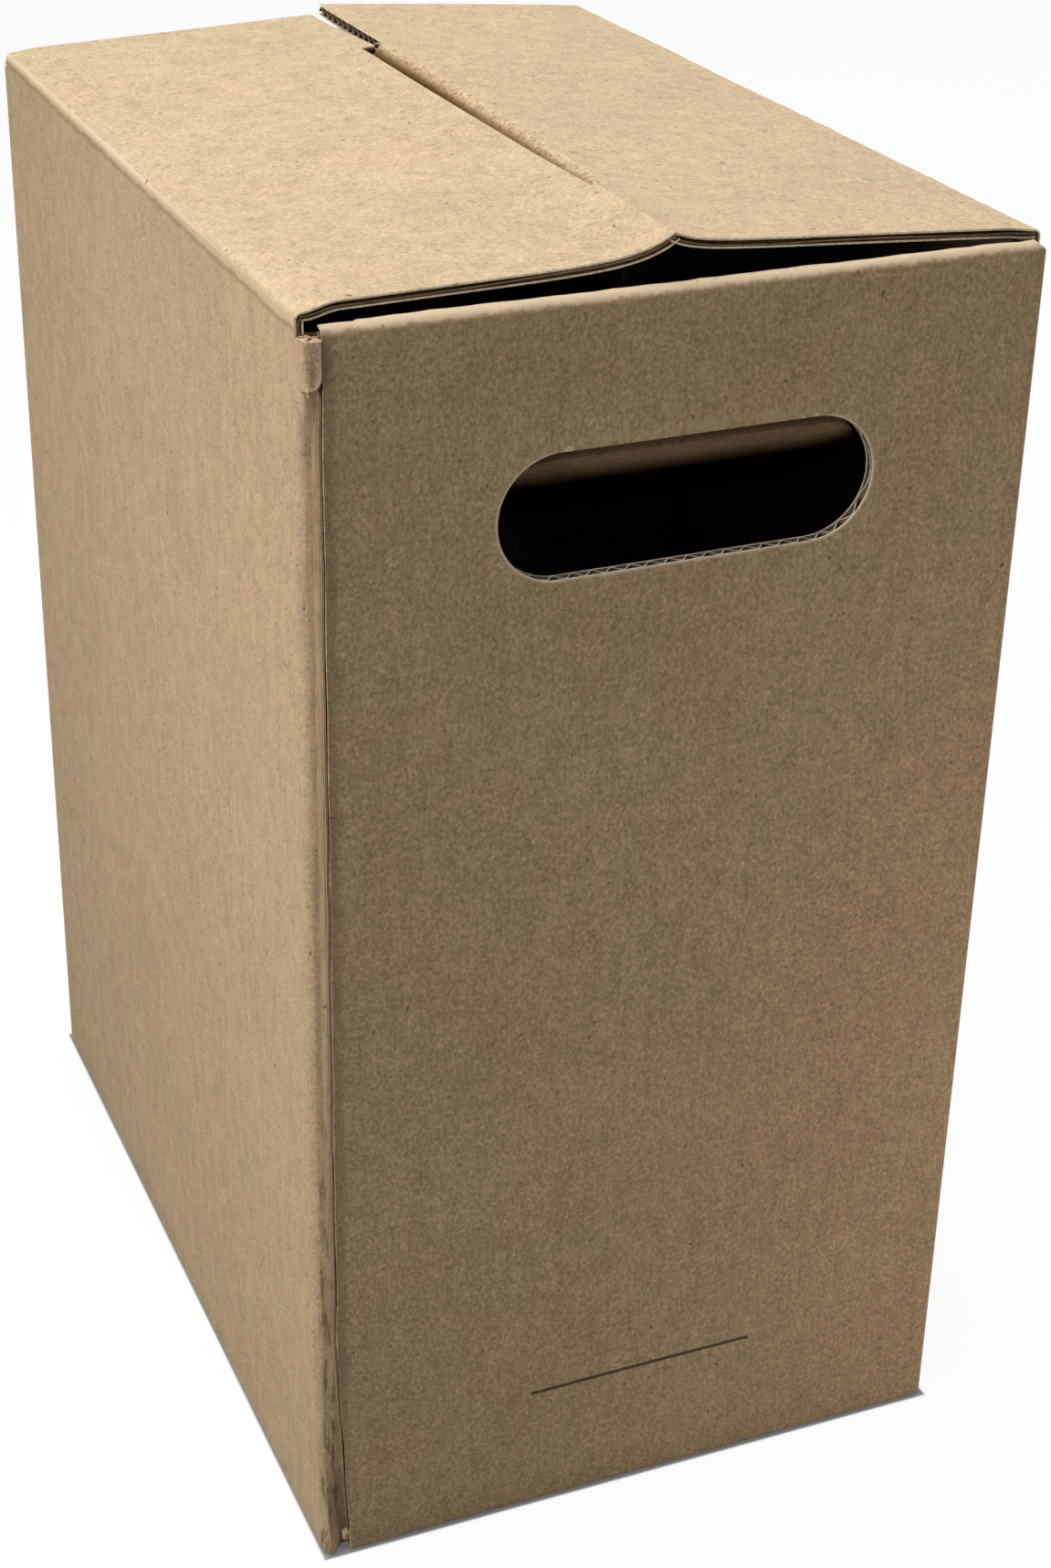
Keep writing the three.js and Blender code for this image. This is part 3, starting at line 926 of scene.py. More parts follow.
    def columns(self) -> list[float]:
        """Returns the parameters of the sheet's columns."""
        upright = steps(0, self.upright_share, 2)[:-1]
        arc = steps(self.upright_share, 1, 6)
        flat = [1 + 0.35 * share + 0.65 * smoothstep(share, 0, 1) for share in steps(0, 1, 26)[1:]]
        return upright + arc + flat

    def rims(self) -> list[tuple[Place, list[float], float, float]]:
        """Returns the strips past the flat: each one's surface, columns, and first and last place along Y."""
        return [(self.rim, steps(0, 1, 4), -self.end, self.end)]

    def patches(self, rows: Sequence[float], depth: Depth) -> list[Piece]:
        """Makes the patches of one layer.

        Args:
            rows: Places along Y.
            depth: Depth of the layer.

        Returns:
            The sheet and the strips past it, without the tongue's outer liner.
        """

        def squeezed(shift: float) -> Depth:
            """Returns the depth in the crushed board, for a surface that starts at a shift."""
            return lambda along, y: depth(along + shift, y) * self.crush(along + shift, y)

        made = [patch(self.columns(), rows, self.sheet, squeezed(0), -self.side)]
        for place, columns, start, stop in self.rims():
            if depth is on_face and place == self.tongue_face:
                continue
            made.append(patch(columns, between(rows, start, stop), place, squeezed(2), -self.side))
        return made

    def hide_cuts(self, piece: Piece) -> None:
        """Gives the face's material to the cut edges that stay closed, in front and at the tongue."""
        for face in piece.data.polygons:
            if -self.end + 1 < face.center.y / MM < self.tongue_back - 1:
                face.material_index = Slot.FACE

    def wave(self, along: float, y: float) -> float:
        """Returns the depth of the medium, whose flutes drift a little along the flap."""
        drift = self.flute_drift * wobble(min(along, 2) * 4, 0, self.side * 7, 1.6)
        return BOARD.wave(y + self.end + drift)

    def extra_layers(self, _finishes: Finishes) -> list[Piece]:
        """Returns the layers that only this flap has. A plain flap has none."""
        return []

    def build(self, finishes: Finishes) -> Piece:
        """Builds the flap from its three layers.

        Args:
            finishes: The materials of the box.

        Returns:
            The flap, riding on its body in place of its CAD node.
        """
        outer = Layer(self.name + "_outer")
        medium = Layer(self.name + "_medium", BOARD.medium, 0)
        inner = Layer(self.name + "_inner")
        layers = []
        for layer, rows, depth, face, cut in (
            (outer, self.rows(), on_face, finishes.outer, finishes.cut),
            (medium, self.fine_rows(), self.wave, finishes.medium, finishes.medium),
            (inner, self.rows(), on_inner_liner, finishes.inner, finishes.cut),
        ):
            made = layer.make(self.patches(rows, depth), face, cut)
            self.hide_cuts(made)
            layers.append(made)
        layers.extend(self.extra_layers(finishes))
        return settle(join(layers, self.name), self.body, self.node)


@dataclass
class SteppedFlap(LongFlap):
    """The left flap, whose seam edge steps back where the other flap's tongue goes down."""

    front_room: float = 1.0
    back_room: float = 4.0
    overlap: float = 0.9

    @property
    def step_rows(self) -> list[float]:
        """Returns the places along Y where the edge steps, with one just outside each end of the tongue."""
        outside = [self.tongue_front - self.step_width, self.tongue_back + self.step_width]
        return super().step_rows + outside

    def edge(self, y: float) -> float:
        """Returns how far the flap reaches in, less where the tongue needs room."""
        if y > self.tongue_back:
            return super().edge(y) + self.overlap * smoothstep(y, self.tongue_back, self.end)
        if y <= self.tongue_front - self.step_slack:
            return super().edge(y)
        share = (y - self.tongue_front) / self.tongue_length
        return super().edge(y) - lerp(self.front_room, self.back_room, share)


@dataclass
class TonguedFlap(LongFlap):
    """The right flap, with its seam edge folded down as a tongue for part of its length."""

    back_gap: Span = (2.4, 3.4)

    @property
    def step_rows(self) -> list[float]:
        """Returns the places along Y where the edge steps, with one just behind the tongue."""
        return super().step_rows + [self.tongue_back + self.step_width]

    @property
    def tongue_face(self) -> Place:
        """Returns the tongue's surface, whose outer liner has the pitted finish."""
        return self.tongue

    def edge(self, y: float) -> float:
        """Returns how far the flap reaches in, less where it falls short behind the tongue."""
        if y <= self.tongue_back + self.step_slack:
            return super().edge(y)
        share = (y - self.tongue_back) / (self.end - self.tongue_back)
        return super().edge(y) - lerp(*self.back_gap, share)

    def rims(self) -> list[tuple[Place, list[float], float, float]]:
        """Returns the plain strips at both ends and the tongue between them."""
        edge_strip = steps(0, 1, 4)
        tongue_strip = steps(0, 1, 8) + steps(1, 2, 5)[1:]
        return [
            (self.rim, edge_strip, -self.end, self.tongue_front),
            (self.tongue, tongue_strip, self.tongue_front, self.tongue_back),
            (self.rim, edge_strip, self.tongue_back, self.end),
        ]

    def extra_layers(self, finishes: Finishes) -> list[Piece]:
        """Returns the tongue's outer liner."""
        _edge, (place, columns, start, stop), _edge_behind = self.rims()
        grid = patch(columns, between(self.rows(), start, stop), place, on_face, -self.side)
        return [Layer(self.name + "_tongue").make([grid], finishes.pitted, finishes.pitted)]

    def tongue(self, along: float, y: float) -> Vector:
        """Returns a point of the tongue: along is 0 to 1 over its crease, and 1 to 2 down its plate."""
        lean = math.radians(self.tongue_lean)
        start = self.flat(self.last(y), y)
        pit = 0.2 * wobble(along * 4, y, 3, 2.0) * smoothstep(along, 0, 0.6)
        radius = self.tongue_crease + pit * (along < 1.2)
        angle = math.pi / 2 + (math.pi / 2 + lean) * min(along, 1.0)
        x = start.x + radius * math.cos(angle)
        z = start.z - self.tongue_crease + radius * math.sin(angle)
        down = self.tongue_depth * max(0.0, along - 1)
        return Vector((x + down * math.sin(lean), y, z - down * math.cos(lean)))


@dataclass
class Carton:
    """The folded sheet: sleeve, glue tab, bottom flaps, short top flaps and hand-hole tabs. Millimetres."""

    name: str = "carton_sheet"
    body: str = "box"
    node: str = "carton"
    short_flap_length: float = 60.0
    short_flap_slope: float = 28.0
    short_flap_relief: float = 12.5
    notch_width: float = 11.0
    notch_start: float = 6.0
    notch_spread: float = 13.0
    hole_length: float = 89.0
    hole_height: float = 29.0
    hole_below_fold: float = 32.8
    hole_shift: float = 1.0
    tab_turn: float = 46.0
    tab_gap: float = 0.35
    bottom_seam_gap: float = 0.6
    bottom_flap_inset: float = 3.6
    bottom_short_flap: float = 60.0
    bottom_relief: float = 5.0
    lobe_height: float = 10.0
    lobe_lip: float = 0.5
    lobe_gap: float = 0.4
    lobe_radius: float = 2.6
    lower_radius: float = 2.0
    low_drift: float = 2.5
    drift_reach: float = 12.0
    low_bulge: float = 2.4
    tip_bulge: float = 2.3
    dull_reach: float = 9.0
    strip_tilt: float = 2.4
    panel_swell: float = 0.45
    swell_rise: Span = (2.0, 40.0)
    swell_fall: Span = (285.0, 316.0)
    edge_wave: float = 0.32
    wave_end: Span = (300.0, 314.0)
    drift_top: float = 70.0
    bulge_run: float = 18.0
    bulge_end: Span = (0.5, 3.0)
    low_bulge_top: float = 48.0
    tip_bulge_top: float = 9.0
    tilt_end: Span = (294.0, 305.0)
    fold_crush: float = 0.3
    corner_shrink: float = 0.8
    lobe_side: float = 3.0
    lobe_thickness: float = 0.9
    lobe_lip_reach: Span = (0.8, 0.7)
    tab_bevel: float = 0.35
    bottom_bevel: float = 0.8
    cutter_depth: float = 16.0
    notch_cutter_height: float = 60.0

    @property
    def joint_edge(self) -> float:
        """Returns the place across the box of the front panel's free edge."""
        return SIZES.joint_inset - SIZES.half_width

    @property
    def relief(self) -> float:
        """Returns how far a short flap reaches to each side of the middle."""
        return SIZES.half_width - self.short_flap_relief

    def flap_limits(self, panel: str) -> list[float]:
        """Returns where an end's short flap starts and stops along the path."""
        return sorted(self.place_of_x(panel, x) for x in (-self.relief, self.relief))

    def plan(self) -> list[tuple[str, float]]:
        """Returns the runs of the sleeve's path in plan, each with its length."""
        r = SIZES.corner_radius
        tight = SIZES.glued_corner_radius
        arc = r * math.pi / 2
        return [
            ("front", SIZES.half_width - r - self.joint_edge),
            ("front_right", arc),
            ("right", SIZES.length - 2 * r),
            ("back_right", arc),
            ("back", SIZES.width - 2 * r),
            ("back_left", arc),
            ("left", SIZES.length - r - tight - BOARD.caliper),
            ("front_left", tight * math.pi / 2),
            ("tab", SIZES.glue_tab_width),
        ]

    def run_starts(self) -> dict[str, float]:
        """Returns where each run of the path starts."""
        starts = {}
        total = 0.0
        for name, length in self.plan():
            starts[name] = total
            total += length
        starts["end"] = total
        return starts

    def plan_point(self, s: float) -> Vector:
        """Returns the point of the path at a length along it, at height 0."""
        r = SIZES.corner_radius
        tight = SIZES.glued_corner_radius
        w = SIZES.half_width
        h = SIZES.half_length
        straights = {
            "front": ((self.joint_edge, -h), (1, 0)),
            "right": ((w, r - h), (0, 1)),
            "back": ((w - r, h), (-1, 0)),
            "left": ((-w, h - r), (0, -1)),
            "tab": ((tight - w, BOARD.caliper - h), (1, 0)),
        }
        arcs = {
            "front_right": ((w - r, r - h), r, -90),
            "back_right": ((w - r, h - r), r, 0),
            "back_left": ((r - w, h - r), r, 90),
            "front_left": ((tight - w, BOARD.caliper + tight - h), tight, 180),
        }
        for name, length in self.plan():
            if s <= length or name == "tab":
                break
            s -= length
        if name in straights:
            (x, y), (over, along) = straights[name]
            return Vector((x + over * s, y + along * s, 0))
        (x, y), radius, start = arcs[name]
        angle = math.radians(start) + s / radius
        return Vector((x + radius * math.cos(angle), y + radius * math.sin(angle), 0))

    def sleeve(self, z: float, s: float) -> Vector:
        """Returns a point of the sleeve's outer face."""
        point = self.plan_point(s) + self.outward(s) * (self.swell(z, s) - self.roll(z))
        point.z = z
        point.x += self.edge_drift(z) * max(0.0, 1 - s / self.drift_reach)
        point.y -= self.corner_bulge(z, s)
        return point

    def outward(self, s: float) -> Vector:
        """Returns the direction out of the box at a length along the path."""
        run = self.plan_point(s + 0.01) - self.plan_point(s - 0.01)
        return Vector((run.y, -run.x, 0)).normalized()

    def swell(self, z: float, s: float) -> float:
        """Returns how far the middle of a panel stands out or in."""
        starts = self.run_starts()
        middle = smoothstep(z, *self.swell_rise) * (1 - smoothstep(z, *self.swell_fall))
        for name, length in self.plan():
            share = (s - starts[name]) / length
            if 0 < share < 1 and "_" not in name:
                return self.panel_swell * wobble(s, z, 11, 70) * middle * math.sin(math.pi * share)
        return 0.0

    def roll(self, z: float) -> float:
        """Returns how far the lower edge rolls in towards the bottom fold."""
        radius = self.lower_radius
        if z >= radius:
            return 0.0
        return radius - math.sqrt(radius**2 - (radius - z) ** 2)

    def edge_drift(self, z: float) -> float:
        """Returns how far the front panel's free edge stands back from its place, more so near the bottom."""
        wave = self.edge_wave * wobble(z, 3, 5, 16) * (1 - smoothstep(z, *self.wave_end))
        return self.low_drift * (1 - smoothstep(z, 0, self.drift_top)) + wave

    def corner_bulge(self, z: float, s: float) -> float:
        """Returns how far the glued corner stands forward near the bottom, less its tilt back."""
        starts = self.run_starts()
        rise = smoothstep(s, starts["front_left"] - self.bulge_run, starts["front_left"])
        fall = 1 - smoothstep(s - starts["tab"], *self.bulge_end)
        low = self.low_bulge * (1 - smoothstep(z, 0, self.low_bulge_top))
        bulge = low + self.tip_bulge * (1 - smoothstep(z, 0, self.tip_bulge_top))
        tilt = self.strip_tilt * (1 - smoothstep(z, *self.tilt_end))
        over = min(1.0, (self.plan_point(s).x + SIZES.half_width) / SIZES.joint_inset)
        return bulge * rise * fall - tilt * rise * (1 - over)

    def plan_places(self) -> list[float]:
        """Returns the places along the path of the sleeve's columns."""
        places = []
        start = 0.0
        for name, length in self.plan():
            count = 6 if "_" in name else max(4, round(length / 4))
            places.extend(start + value for value in steps(0, length, count)[:-1])
            start += length
        places.append(start)
        for name, _sign in ENDS:
            for x in (-self.relief, self.relief, -self.joint_edge, self.joint_edge):
                places.append(self.place_of_x(name, x))
        places = sorted(set(round(value, 5) for value in places))
        return [value for i, value in enumerate(places) if i == 0 or value - places[i - 1] > 1e-3]

    def place_of_x(self, panel: str, x: float) -> float:
        """Returns the place along the path of a place across the front or back panel."""
        start = self.run_starts()[panel]
        if panel == "front":
            return start + x - self.joint_edge
        return start + SIZES.half_width - SIZES.corner_radius - x

    def fold_radius(self, s: float) -> float:
        """Returns the radius of an end's top fold, which shrinks round the corners."""
        starts = self.run_starts()

        def round_corner(corner: str, side: str) -> float:
            """Returns how much of the way round a corner the place lies."""
            return smoothstep(s, starts[corner], starts[side])

        if s <= starts["right"]:
            turned = round_corner("front_right", "right")
        else:
            turned = max(round_corner("back_left", "left"), 1 - round_corner("back_right", "back"))
        return SIZES.end_fold_radius * (1 - self.corner_shrink * turned)

    def end_top(self, sign: int) -> Place:
        """Returns the surface of an end's top fold and short flap.

        Its first parameter is 0 to 1 up to the crest, 1 to 2 over it, and 2 to 3 down the flap.
        """
        slope = math.radians(self.short_flap_slope)
        crest = math.pi / 2 - slope

        def place(along: float, s: float) -> Vector:
            """Returns a point of the fold or the flap."""
            radius = self.fold_radius(s)
            point = self.plan_point(s)
            if along < 1:
                angle = math.pi - along * math.pi / 2
            else:
                angle = lerp(math.pi / 2, crest, min(along, 2) - 1)
            crush = self.fold_crush * wobble(point.x, along * 4, 17 * sign, 4.5) * smoothstep(along, 0.1, 0.9)
            reach = radius + crush * (along < 2.5) * radius / SIZES.end_fold_radius
            down = self.short_flap_length * max(0.0, along - 2)
            inward = radius + reach * math.cos(angle) + down * math.cos(slope)
            point -= self.outward(s) * inward
            point.z = SIZES.sleeve_top + reach * math.sin(angle) - down * math.sin(slope)
            return point

        return place

    def rows(self) -> list[float]:
        """Returns the heights of the sleeve's rows."""
        roll = [0.15, 0.5, 1.0, self.lower_radius]
        return roll + steps(self.lower_radius, 300, 46)[1:] + steps(300, SIZES.sleeve_top, 6)[1:]

    def liner_patches(self, depth: Depth) -> list[Piece]:
        """Makes the patches of a liner: the whole sleeve and both ends' tops."""
        places = self.plan_places()
        made = [patch(self.rows(), places, self.sleeve, depth, -1)]
        for panel, sign in ENDS:
            top = self.end_top(sign)
            fold = between(places, *self.fold_limits(panel))
            flap = between(places, *self.flap_limits(panel))
            made.append(patch(steps(0, 1, 6), fold, top, depth, -1))
            made.append(patch(steps(1, 2, 2) + steps(2, 3, 10)[1:], flap, top, depth, -1))
        return made

    def fold_limits(self, panel: str) -> tuple[float, float]:
        """Returns where an end's top fold starts and stops along the path."""
        starts = self.run_starts()
        if panel == "front":
            return 0.0, starts["right"]
        return starts["back_right"], starts["left"]

    def medium_patches(self, panel: str, sign: int) -> list[Piece]:
        """Makes the medium of one end panel with its top fold."""
        start = self.run_starts()[panel]
        across = BOARD.fine(start, start + dict(self.plan())[panel])
        heights = [0.5, self.lower_radius, 60, 120, 180, 225, 250, 265, 280, 295, 306, SIZES.sleeve_top]
        top = self.end_top(sign)

        def depth(_along: float, s: float) -> float:
            """Returns the depth of the medium, whose waves start at the panel's edge."""
            return BOARD.wave(s - start)

        return [
            patch(heights, across, self.sleeve, depth, -1),
            patch(steps(0, 1, 4), across, top, depth, -1),
            patch(steps(1, 3, 6), between(across, *self.flap_limits(panel)), top, depth, -1),
        ]

    def hole_outline(self, name: str, depth: float, gap: float) -> Piece:
        """Adds a prism with the outline of the hand hole, centred on the origin and lying along Y.

        Args:
            name: Name of the object.
            depth: Thickness of the prism along Y.
            gap: How much smaller it is all round than the hole.

        Returns:
            The prism, in metres as all objects are.
        """
        deselect()
        radius = self.hole_height / 2 - gap
        straight = (self.hole_length - self.hole_height) / 2
        bpy.ops.mesh.primitive_cylinder_add(vertices=64, radius=radius * MM, depth=depth * MM)
        piece = bpy.context.object
        piece.name = name
        for vertex in piece.data.vertices:
            vertex.co.x += math.copysign(straight * MM, vertex.co.x + 1e-7)
        piece.rotation_euler = Euler((math.pi / 2, 0, 0))
        place_in_mesh(piece)
        return piece

    def notch_cutter(self, sign: int) -> Piece:
        """Adds the prism that cuts a short flap's centre notch."""
        deselect()
        half = self.notch_width / 2
        start = self.notch_start - SIZES.half_length
        reach = self.short_flap_length
        spread = math.tan(math.radians(self.notch_spread)) * reach
        height = self.notch_cutter_height
        bpy.ops.mesh.primitive_cylinder_add(vertices=32, radius=half * MM, depth=height * MM)
        piece = bpy.context.object
        for vertex in piece.data.vertices:
            if vertex.co.y > 1e-7:
                vertex.co.x += math.copysign(spread * MM, vertex.co.x + 1e-9)
                vertex.co.y = reach * MM
        piece.location = Vector((0, start + half, SIZES.end_fold_top - height / 2 + 1)) * MM
        place_in_mesh(piece)
        face_end(piece, sign)
        return piece

    def cutters(self) -> Piece:
        """Makes the shapes of all the holes and notches as one object."""
        made = []
        centre = SIZES.end_fold_top - self.hole_below_fold - self.hole_height / 2
        for _panel, sign in ENDS:
            hole = self.hole_outline("hole", self.cutter_depth, 0)
            hole.location = Vector((self.hole_shift * sign, -sign * (SIZES.half_length - 1), centre)) * MM
            place_in_mesh(hole)
            made.extend((hole, self.notch_cutter(sign)))
        cutter = join(made, "cutters")
        add_materials(cutter, *(None for _ in Slot))
        for face in cutter.data.polygons:
            face.material_index = Slot.CUT
        return cutter

    def hand_tab(self, sign: int, finishes: Finishes) -> Piece:
        """Makes a tab, pushed in from its hole and folded up along the hole's straight upper edge."""
        piece = self.hole_outline("hand_tab", BOARD.caliper, self.tab_gap)
        low = (self.tab_gap - self.hole_height / 2) * MM
        piece.data.transform(Matrix.Translation((0, -BOARD.caliper / 2 * MM, low)))
        piece.data.transform(Matrix.Rotation(math.radians(self.tab_turn), 4, "X"))
        apply_modifier(piece, "BEVEL", width=self.tab_bevel * MM, segments=2, limit_method="ANGLE")
        top = SIZES.end_fold_top - self.hole_below_fold
        piece.location = Vector((self.hole_shift, BOARD.caliper - SIZES.half_length, top)) * MM
        place_in_mesh(piece)
        face_end(piece, sign)
        add_materials(piece, finishes.tab, finishes.cut)
        return piece

    def bottom_board(self, low: Sequence[float], high: Sequence[float], finishes: Finishes) -> Piece:
        """Adds one flat bottom flap between two corners, with softened edges."""
        deselect()
        bpy.ops.mesh.primitive_cube_add(size=1)
        piece = bpy.context.object
        piece.dimensions = [(b - a) * MM for a, b in zip(low, high)]
        piece.location = [(a + b) / 2 * MM for a, b in zip(low, high)]
        place_in_mesh(piece)
        apply_modifier(piece, "BEVEL", width=self.bottom_bevel * MM, segments=3, limit_method="ANGLE")
        add_materials(piece, finishes.outer, finishes.cut)
        return piece

    def bottom(self, finishes: Finishes) -> list[Piece]:
        """Makes the two long bottom flaps and the two short ones on them."""
        seam = self.bottom_seam_gap / 2
        end = SIZES.half_length - self.bottom_flap_inset
        wide = SIZES.half_width
        inner = wide - self.bottom_relief
        outside = SIZES.half_length - 1
        inside = SIZES.half_length - self.bottom_short_flap
        thick = BOARD.caliper
        boards = (
            ((-wide, -end, 0), (-seam, end, thick)),
            ((seam, -end, 0), (wide, end, thick)),
            ((-inner, -outside, thick), (inner, -inside, 2 * thick)),
            ((-inner, inside, thick), (inner, outside, 2 * thick)),
        )
        return [self.bottom_board(low, high, finishes) for low, high in boards]

    def lobe(self, finishes: Finishes) -> Piece:
        """Makes the part of the left corner above the glue tab, flush with the front."""
        radius = SIZES.glued_corner_radius
        centre_x = radius - SIZES.half_width
        centre_y = radius - SIZES.half_length
        low = SIZES.sleeve_top - self.lobe_height
        round_top = low + self.lobe_radius
        arc_end = self.lobe_side + radius * math.pi / 2
        front = self.joint_edge - self.lobe_gap - centre_x
        lip_up, lip_over = self.lobe_lip_reach

        def length(z: float) -> float:
            """Returns how far the lobe reaches at a height, less where its lower corner is round."""
            up = min(self.lobe_radius, z - low)
            rest = self.lobe_radius**2 - (self.lobe_radius - up) ** 2
            return arc_end + front - self.lobe_radius + math.sqrt(max(0.0, rest))

        def place(z: float, share: float) -> Vector:
            """Returns a point of the lobe at a share of its reach, with its lip raised."""
            whole = length(z)
            run = share * whole
            if run < self.lobe_side:
                return Vector((-SIZES.half_width, centre_y + self.lobe_side - run, z))
            lip = self.lobe_lip * max(math.exp((low - z) / lip_up), math.exp((run - whole) / lip_over))
            if run < arc_end:
                angle = math.pi + (run - self.lobe_side) / radius
                reach = radius + lip
                return Vector((centre_x + reach * math.cos(angle), centre_y + reach * math.sin(angle), z))
            return Vector((centre_x + run - arc_end, -SIZES.half_length - lip, z))

        rows = steps(low, round_top, 8) + steps(round_top, SIZES.sleeve_top, 5)[1:]
        grid = patch(rows, steps(0, 1, 16), place, on_face, -1)
        layer = Layer("corner_lobe", BOARD.caliper * self.lobe_thickness)
        return layer.make([grid], finishes.outer, finishes.outer)

    def dull_joint(self, layer: Piece) -> None:
        """Gives the cut edges at the glued corner the face's material, as they are rubbed there."""
        for face in layer.data.polygons:
            x, y, _z = face.center / MM
            if y < self.dull_reach - SIZES.half_length and x < self.joint_edge + self.low_drift + 1:
                face.material_index = Slot.FACE

    def build(self, finishes: Finishes) -> Piece:
        """Builds the whole sheet.

        Args:
            finishes: The materials of the box.

        Returns:
            The sheet, riding on the box in place of its CAD node.
        """
        cutter = self.cutters()
        layers = []
        for name, depth, face in (
            ("outer", on_face, finishes.outer),
            ("inner", on_inner_liner, finishes.inner),
        ):
            layer = Layer(self.name + "_" + name)
            layers.append(layer.make(self.liner_patches(depth), face, finishes.cut, cutter))
        for panel, sign in ENDS:
            layer = Layer(self.name + "_medium_" + panel, BOARD.medium, 0)
            grids = self.medium_patches(panel, sign)
            layers.append(layer.make(grids, finishes.medium, finishes.cut, cutter))
        for layer in layers:
            self.dull_joint(layer)
        layers.extend(self.hand_tab(sign, finishes) for _panel, sign in ENDS)
        layers.append(self.lobe(finishes))
        layers.extend(self.bottom(finishes))
        bpy.data.objects.remove(cutter)
        return settle(join(layers, self.name), self.body, self.node)


def settle(piece: Piece, body: str, node: str) -> Piece:
    """Smooths a finished piece and makes it ride on its body in place of its CAD node.

    Args:
        piece: The finished piece.
        body: Name of the body.
        node: Name of the node that it replaces.

    Returns:
        The piece.
    """
    select_only(piece)
    bpy.ops.object.shade_smooth_by_angle(angle=math.radians(35))
    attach(piece, body)
    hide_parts(node)
    LOG.info("%s: %d faces on %s", piece.name, len(piece.data.polygons), body)
    return piece


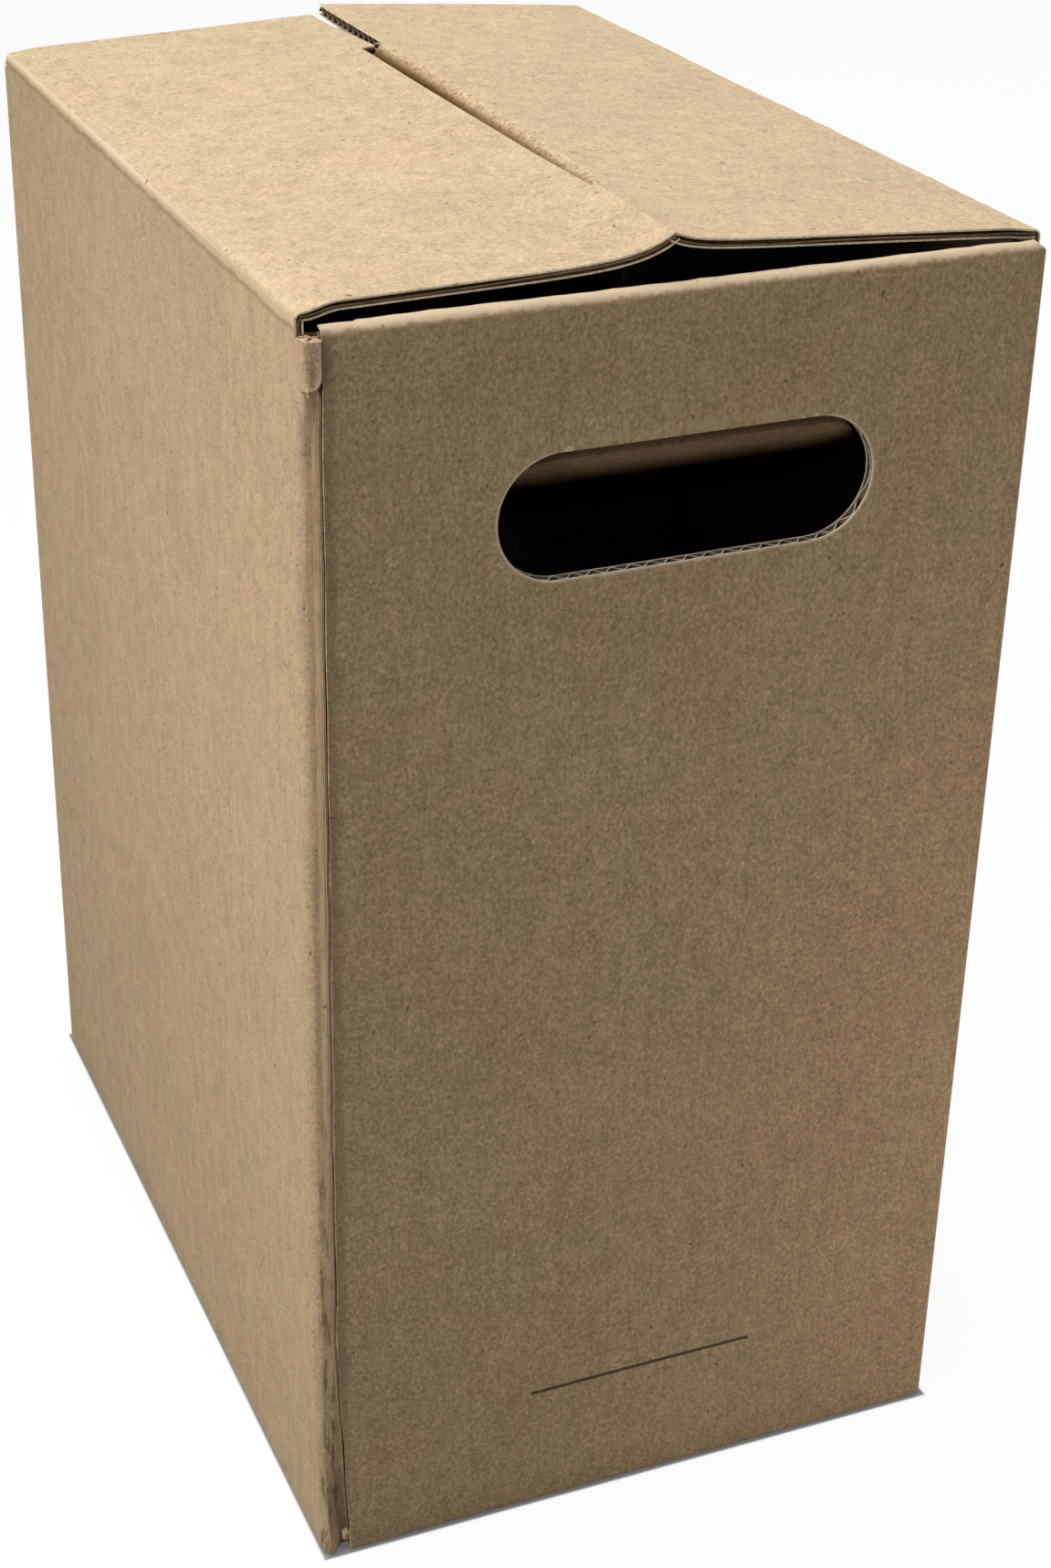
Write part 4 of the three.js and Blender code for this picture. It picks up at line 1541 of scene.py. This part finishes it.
@dataclass(frozen=True)
class Studio:
    """The camera, lamps, floor and background. Metres and degrees."""

    camera_place: tuple[float, float, float] = (-0.24505, -0.60351, 0.48684)
    camera_turn: tuple[float, float, float] = (62.554, -0.196, -21.281)
    lens: float = 61.514
    shift: Span = (0.06107, -0.01748)
    floor_size: float = 14.0
    floor_white: float = 0.92
    shadow_reach: float = 0.9
    shadow_tones: Span = (0.2, 0.85)
    bounce_colour: Colour = (0.12, 0.115, 0.11, 1)
    world_colour: Colour = (1.0, 0.91, 0.82, 1)
    world_strength: float = 0.09
    lamps: tuple[tuple[str, tuple[float, ...], float, float, tuple[float, ...]], ...] = (
        ("key", (-0.2, 0.1, 1.9), 1.2, 44.5, (0.93, 0.965, 1.0)),
        ("left", (-0.62, -0.19, 0.33), 0.3, 2.5, (1.0, 0.96, 0.9)),
        ("front_right", (0.28, -0.36, 0.03), 0.22, 0.68, (1.0, 0.86, 0.73)),
    )

    def add_camera(self) -> None:
        """Adds the camera at the photograph's place and view."""
        data = bpy.data.cameras.new("camera")
        data.lens = self.lens
        data.sensor_width = 36
        data.shift_x, data.shift_y = self.shift
        data.clip_start = 0.01
        data.clip_end = 60
        camera = bpy.data.objects.new("camera", data)
        camera.location = self.camera_place
        camera.rotation_euler = Euler([math.radians(angle) for angle in self.camera_turn])
        bpy.context.scene.collection.objects.link(camera)
        bpy.context.scene.camera = camera

    def add_lamp(
        self, name: str, place: Sequence[float], size: float, power: float, colour: Sequence[float]
    ) -> None:
        """Adds an area lamp that points at the box.

        Args:
            name: Name of the lamp.
            place: Where it hangs.
            size: Length of its sides.
            power: Power in watts.
            colour: Its light's colour.
        """
        data = bpy.data.lights.new(name, "AREA")
        data.size = size
        data.energy = power
        data.color = colour
        lamp = bpy.data.objects.new(name, data)
        lamp.location = place
        aim = Vector((0, 0, 0.2)) - Vector(place)
        lamp.rotation_euler = aim.to_track_quat("-Z", "Y").to_euler()
        bpy.context.scene.collection.objects.link(lamp)

    def add_floor(self) -> None:
        """Adds the pale floor that the box stands on, with a painted contact shadow round the box's
        footprint.
        """
        deselect()
        bpy.ops.mesh.primitive_plane_add(size=self.floor_size)
        floor = bpy.context.object
        floor.name = "floor"
        material = bpy.data.materials.new("floor")
        material.use_nodes = True
        nodes = Nodes(material.node_tree)
        shader = material.node_tree.nodes["Principled BSDF"]
        shader.inputs["Roughness"].default_value = 0.9
        seen = self.seen_by_camera(nodes)
        # Painted contact shadow: the floor's colour darkens close to the box's footprint.
        painted_contact_shadow = nodes.ramp(self.away_from_box(nodes), 0.0, self.shadow_reach * MM, *self.shadow_tones)
        shown = nodes.scaled((1.0, 1.0, 1.0), painted_contact_shadow)
        nodes.feed(shader.inputs["Base Color"], nodes.mix(seen, self.bounce_colour, shown))
        glow = nodes.add("Emission")
        glow.inputs["Strength"].default_value = 1.0
        blend = nodes.add("MixShader")
        nodes.feed(blend.inputs[0], nodes.math("MULTIPLY", seen, self.floor_share(nodes)))
        nodes.feed(blend.inputs[1], shader.outputs[0])
        nodes.feed(blend.inputs[2], glow.outputs[0])
        nodes.feed(material.node_tree.nodes["Material Output"].inputs[0], blend.outputs[0])
        floor.data.materials.append(material)

    def away_from_box(self, nodes: Nodes) -> Socket:
        """Returns how far a place on the floor is from the box's footprint."""
        x, y, _z = nodes.split(nodes.add("TexCoord").outputs["Object"])
        off_x = nodes.math("SUBTRACT", nodes.math("ABSOLUTE", x), SIZES.half_width * MM)
        off_y = nodes.math("SUBTRACT", nodes.math("ABSOLUTE", y), SIZES.half_length * MM)
        return nodes.math("MAXIMUM", off_x, off_y)

    def floor_share(self, nodes: Nodes) -> Socket:
        """Returns how much of the floor is plain white, less close to the box, where its shadow and the
        painted contact shadow show.
        """
        return nodes.ramp(self.away_from_box(nodes), 0.0, self.shadow_reach * MM, 0.1, self.floor_white)

    def seen_by_camera(self, nodes: Nodes) -> Socket:
        """Returns a mask of the rays that the camera, a mirror or glass sends."""
        path = nodes.add("LightPath")
        mask = nodes.math("ADD", path.outputs["Is Camera Ray"], path.outputs["Is Glossy Ray"])
        return nodes.math("ADD", mask, path.outputs["Is Transmission Ray"], clamp=True)

    def add_world(self) -> None:
        """Adds the white background and the soft light all round."""
        world = bpy.data.worlds.new("studio")
        world.use_nodes = True
        bpy.context.scene.world = world
        nodes = Nodes(world.node_tree)
        light = world.node_tree.nodes["Background"]
        light.inputs["Color"].default_value = self.world_colour
        light.inputs["Strength"].default_value = self.world_strength
        white = nodes.add("Background")
        white.inputs["Color"].default_value = (1, 1, 1, 1)
        white.inputs["Strength"].default_value = 1.0
        blend = nodes.add("MixShader")
        nodes.feed(blend.inputs[0], self.seen_by_camera(nodes))
        nodes.feed(blend.inputs[1], light.outputs[0])
        nodes.feed(blend.inputs[2], white.outputs[0])
        nodes.feed(world.node_tree.nodes["World Output"].inputs[0], blend.outputs[0])

    def build(self) -> None:
        """Sets up the whole studio."""
        self.add_camera()
        self.add_floor()
        self.add_world()
        for lamp in self.lamps:
            self.add_lamp(*lamp)
        bpy.context.scene.view_settings.view_transform = "Standard"


def dress_divider(finishes: Finishes) -> None:
    """Gives the divider's strips their board material."""
    for name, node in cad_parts.items():
        if name.startswith("divider"):
            node.data.materials.clear()
            node.data.materials.append(finishes.divider)
            LOG.info("%s: dressed", name)


def main() -> None:
    """Builds the box and its studio."""
    logging.basicConfig(level=logging.INFO, format="%(message)s")
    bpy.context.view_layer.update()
    finishes = Finishes.make()
    Carton().build(finishes)
    left = FlapForm(
        front_level=6,
        back_level=4.2,
        front_slope=0.02,
        back_slope=0.08,
        curl=4.6,
        curl_reach=6.8,
        shoulder=1.5,
        sag=3.6,
        sag_start=55,
    )
    right = FlapForm(
        front_level=4.4,
        back_level=4.2,
        front_slope=0.071,
        back_slope=0.092,
        curl=1.7,
        curl_reach=4,
        shoulder=0.5,
        sag=1.3,
        sag_start=40,
    )
    SteppedFlap("left_flap_board", "left_flap", "top_flap_left", -1, left).build(finishes)
    TonguedFlap("right_flap_board", "right_flap", "top_flap_right", 1, right).build(finishes)
    dress_divider(finishes)
    Studio().build()


if __name__ == "__main__":
    main()
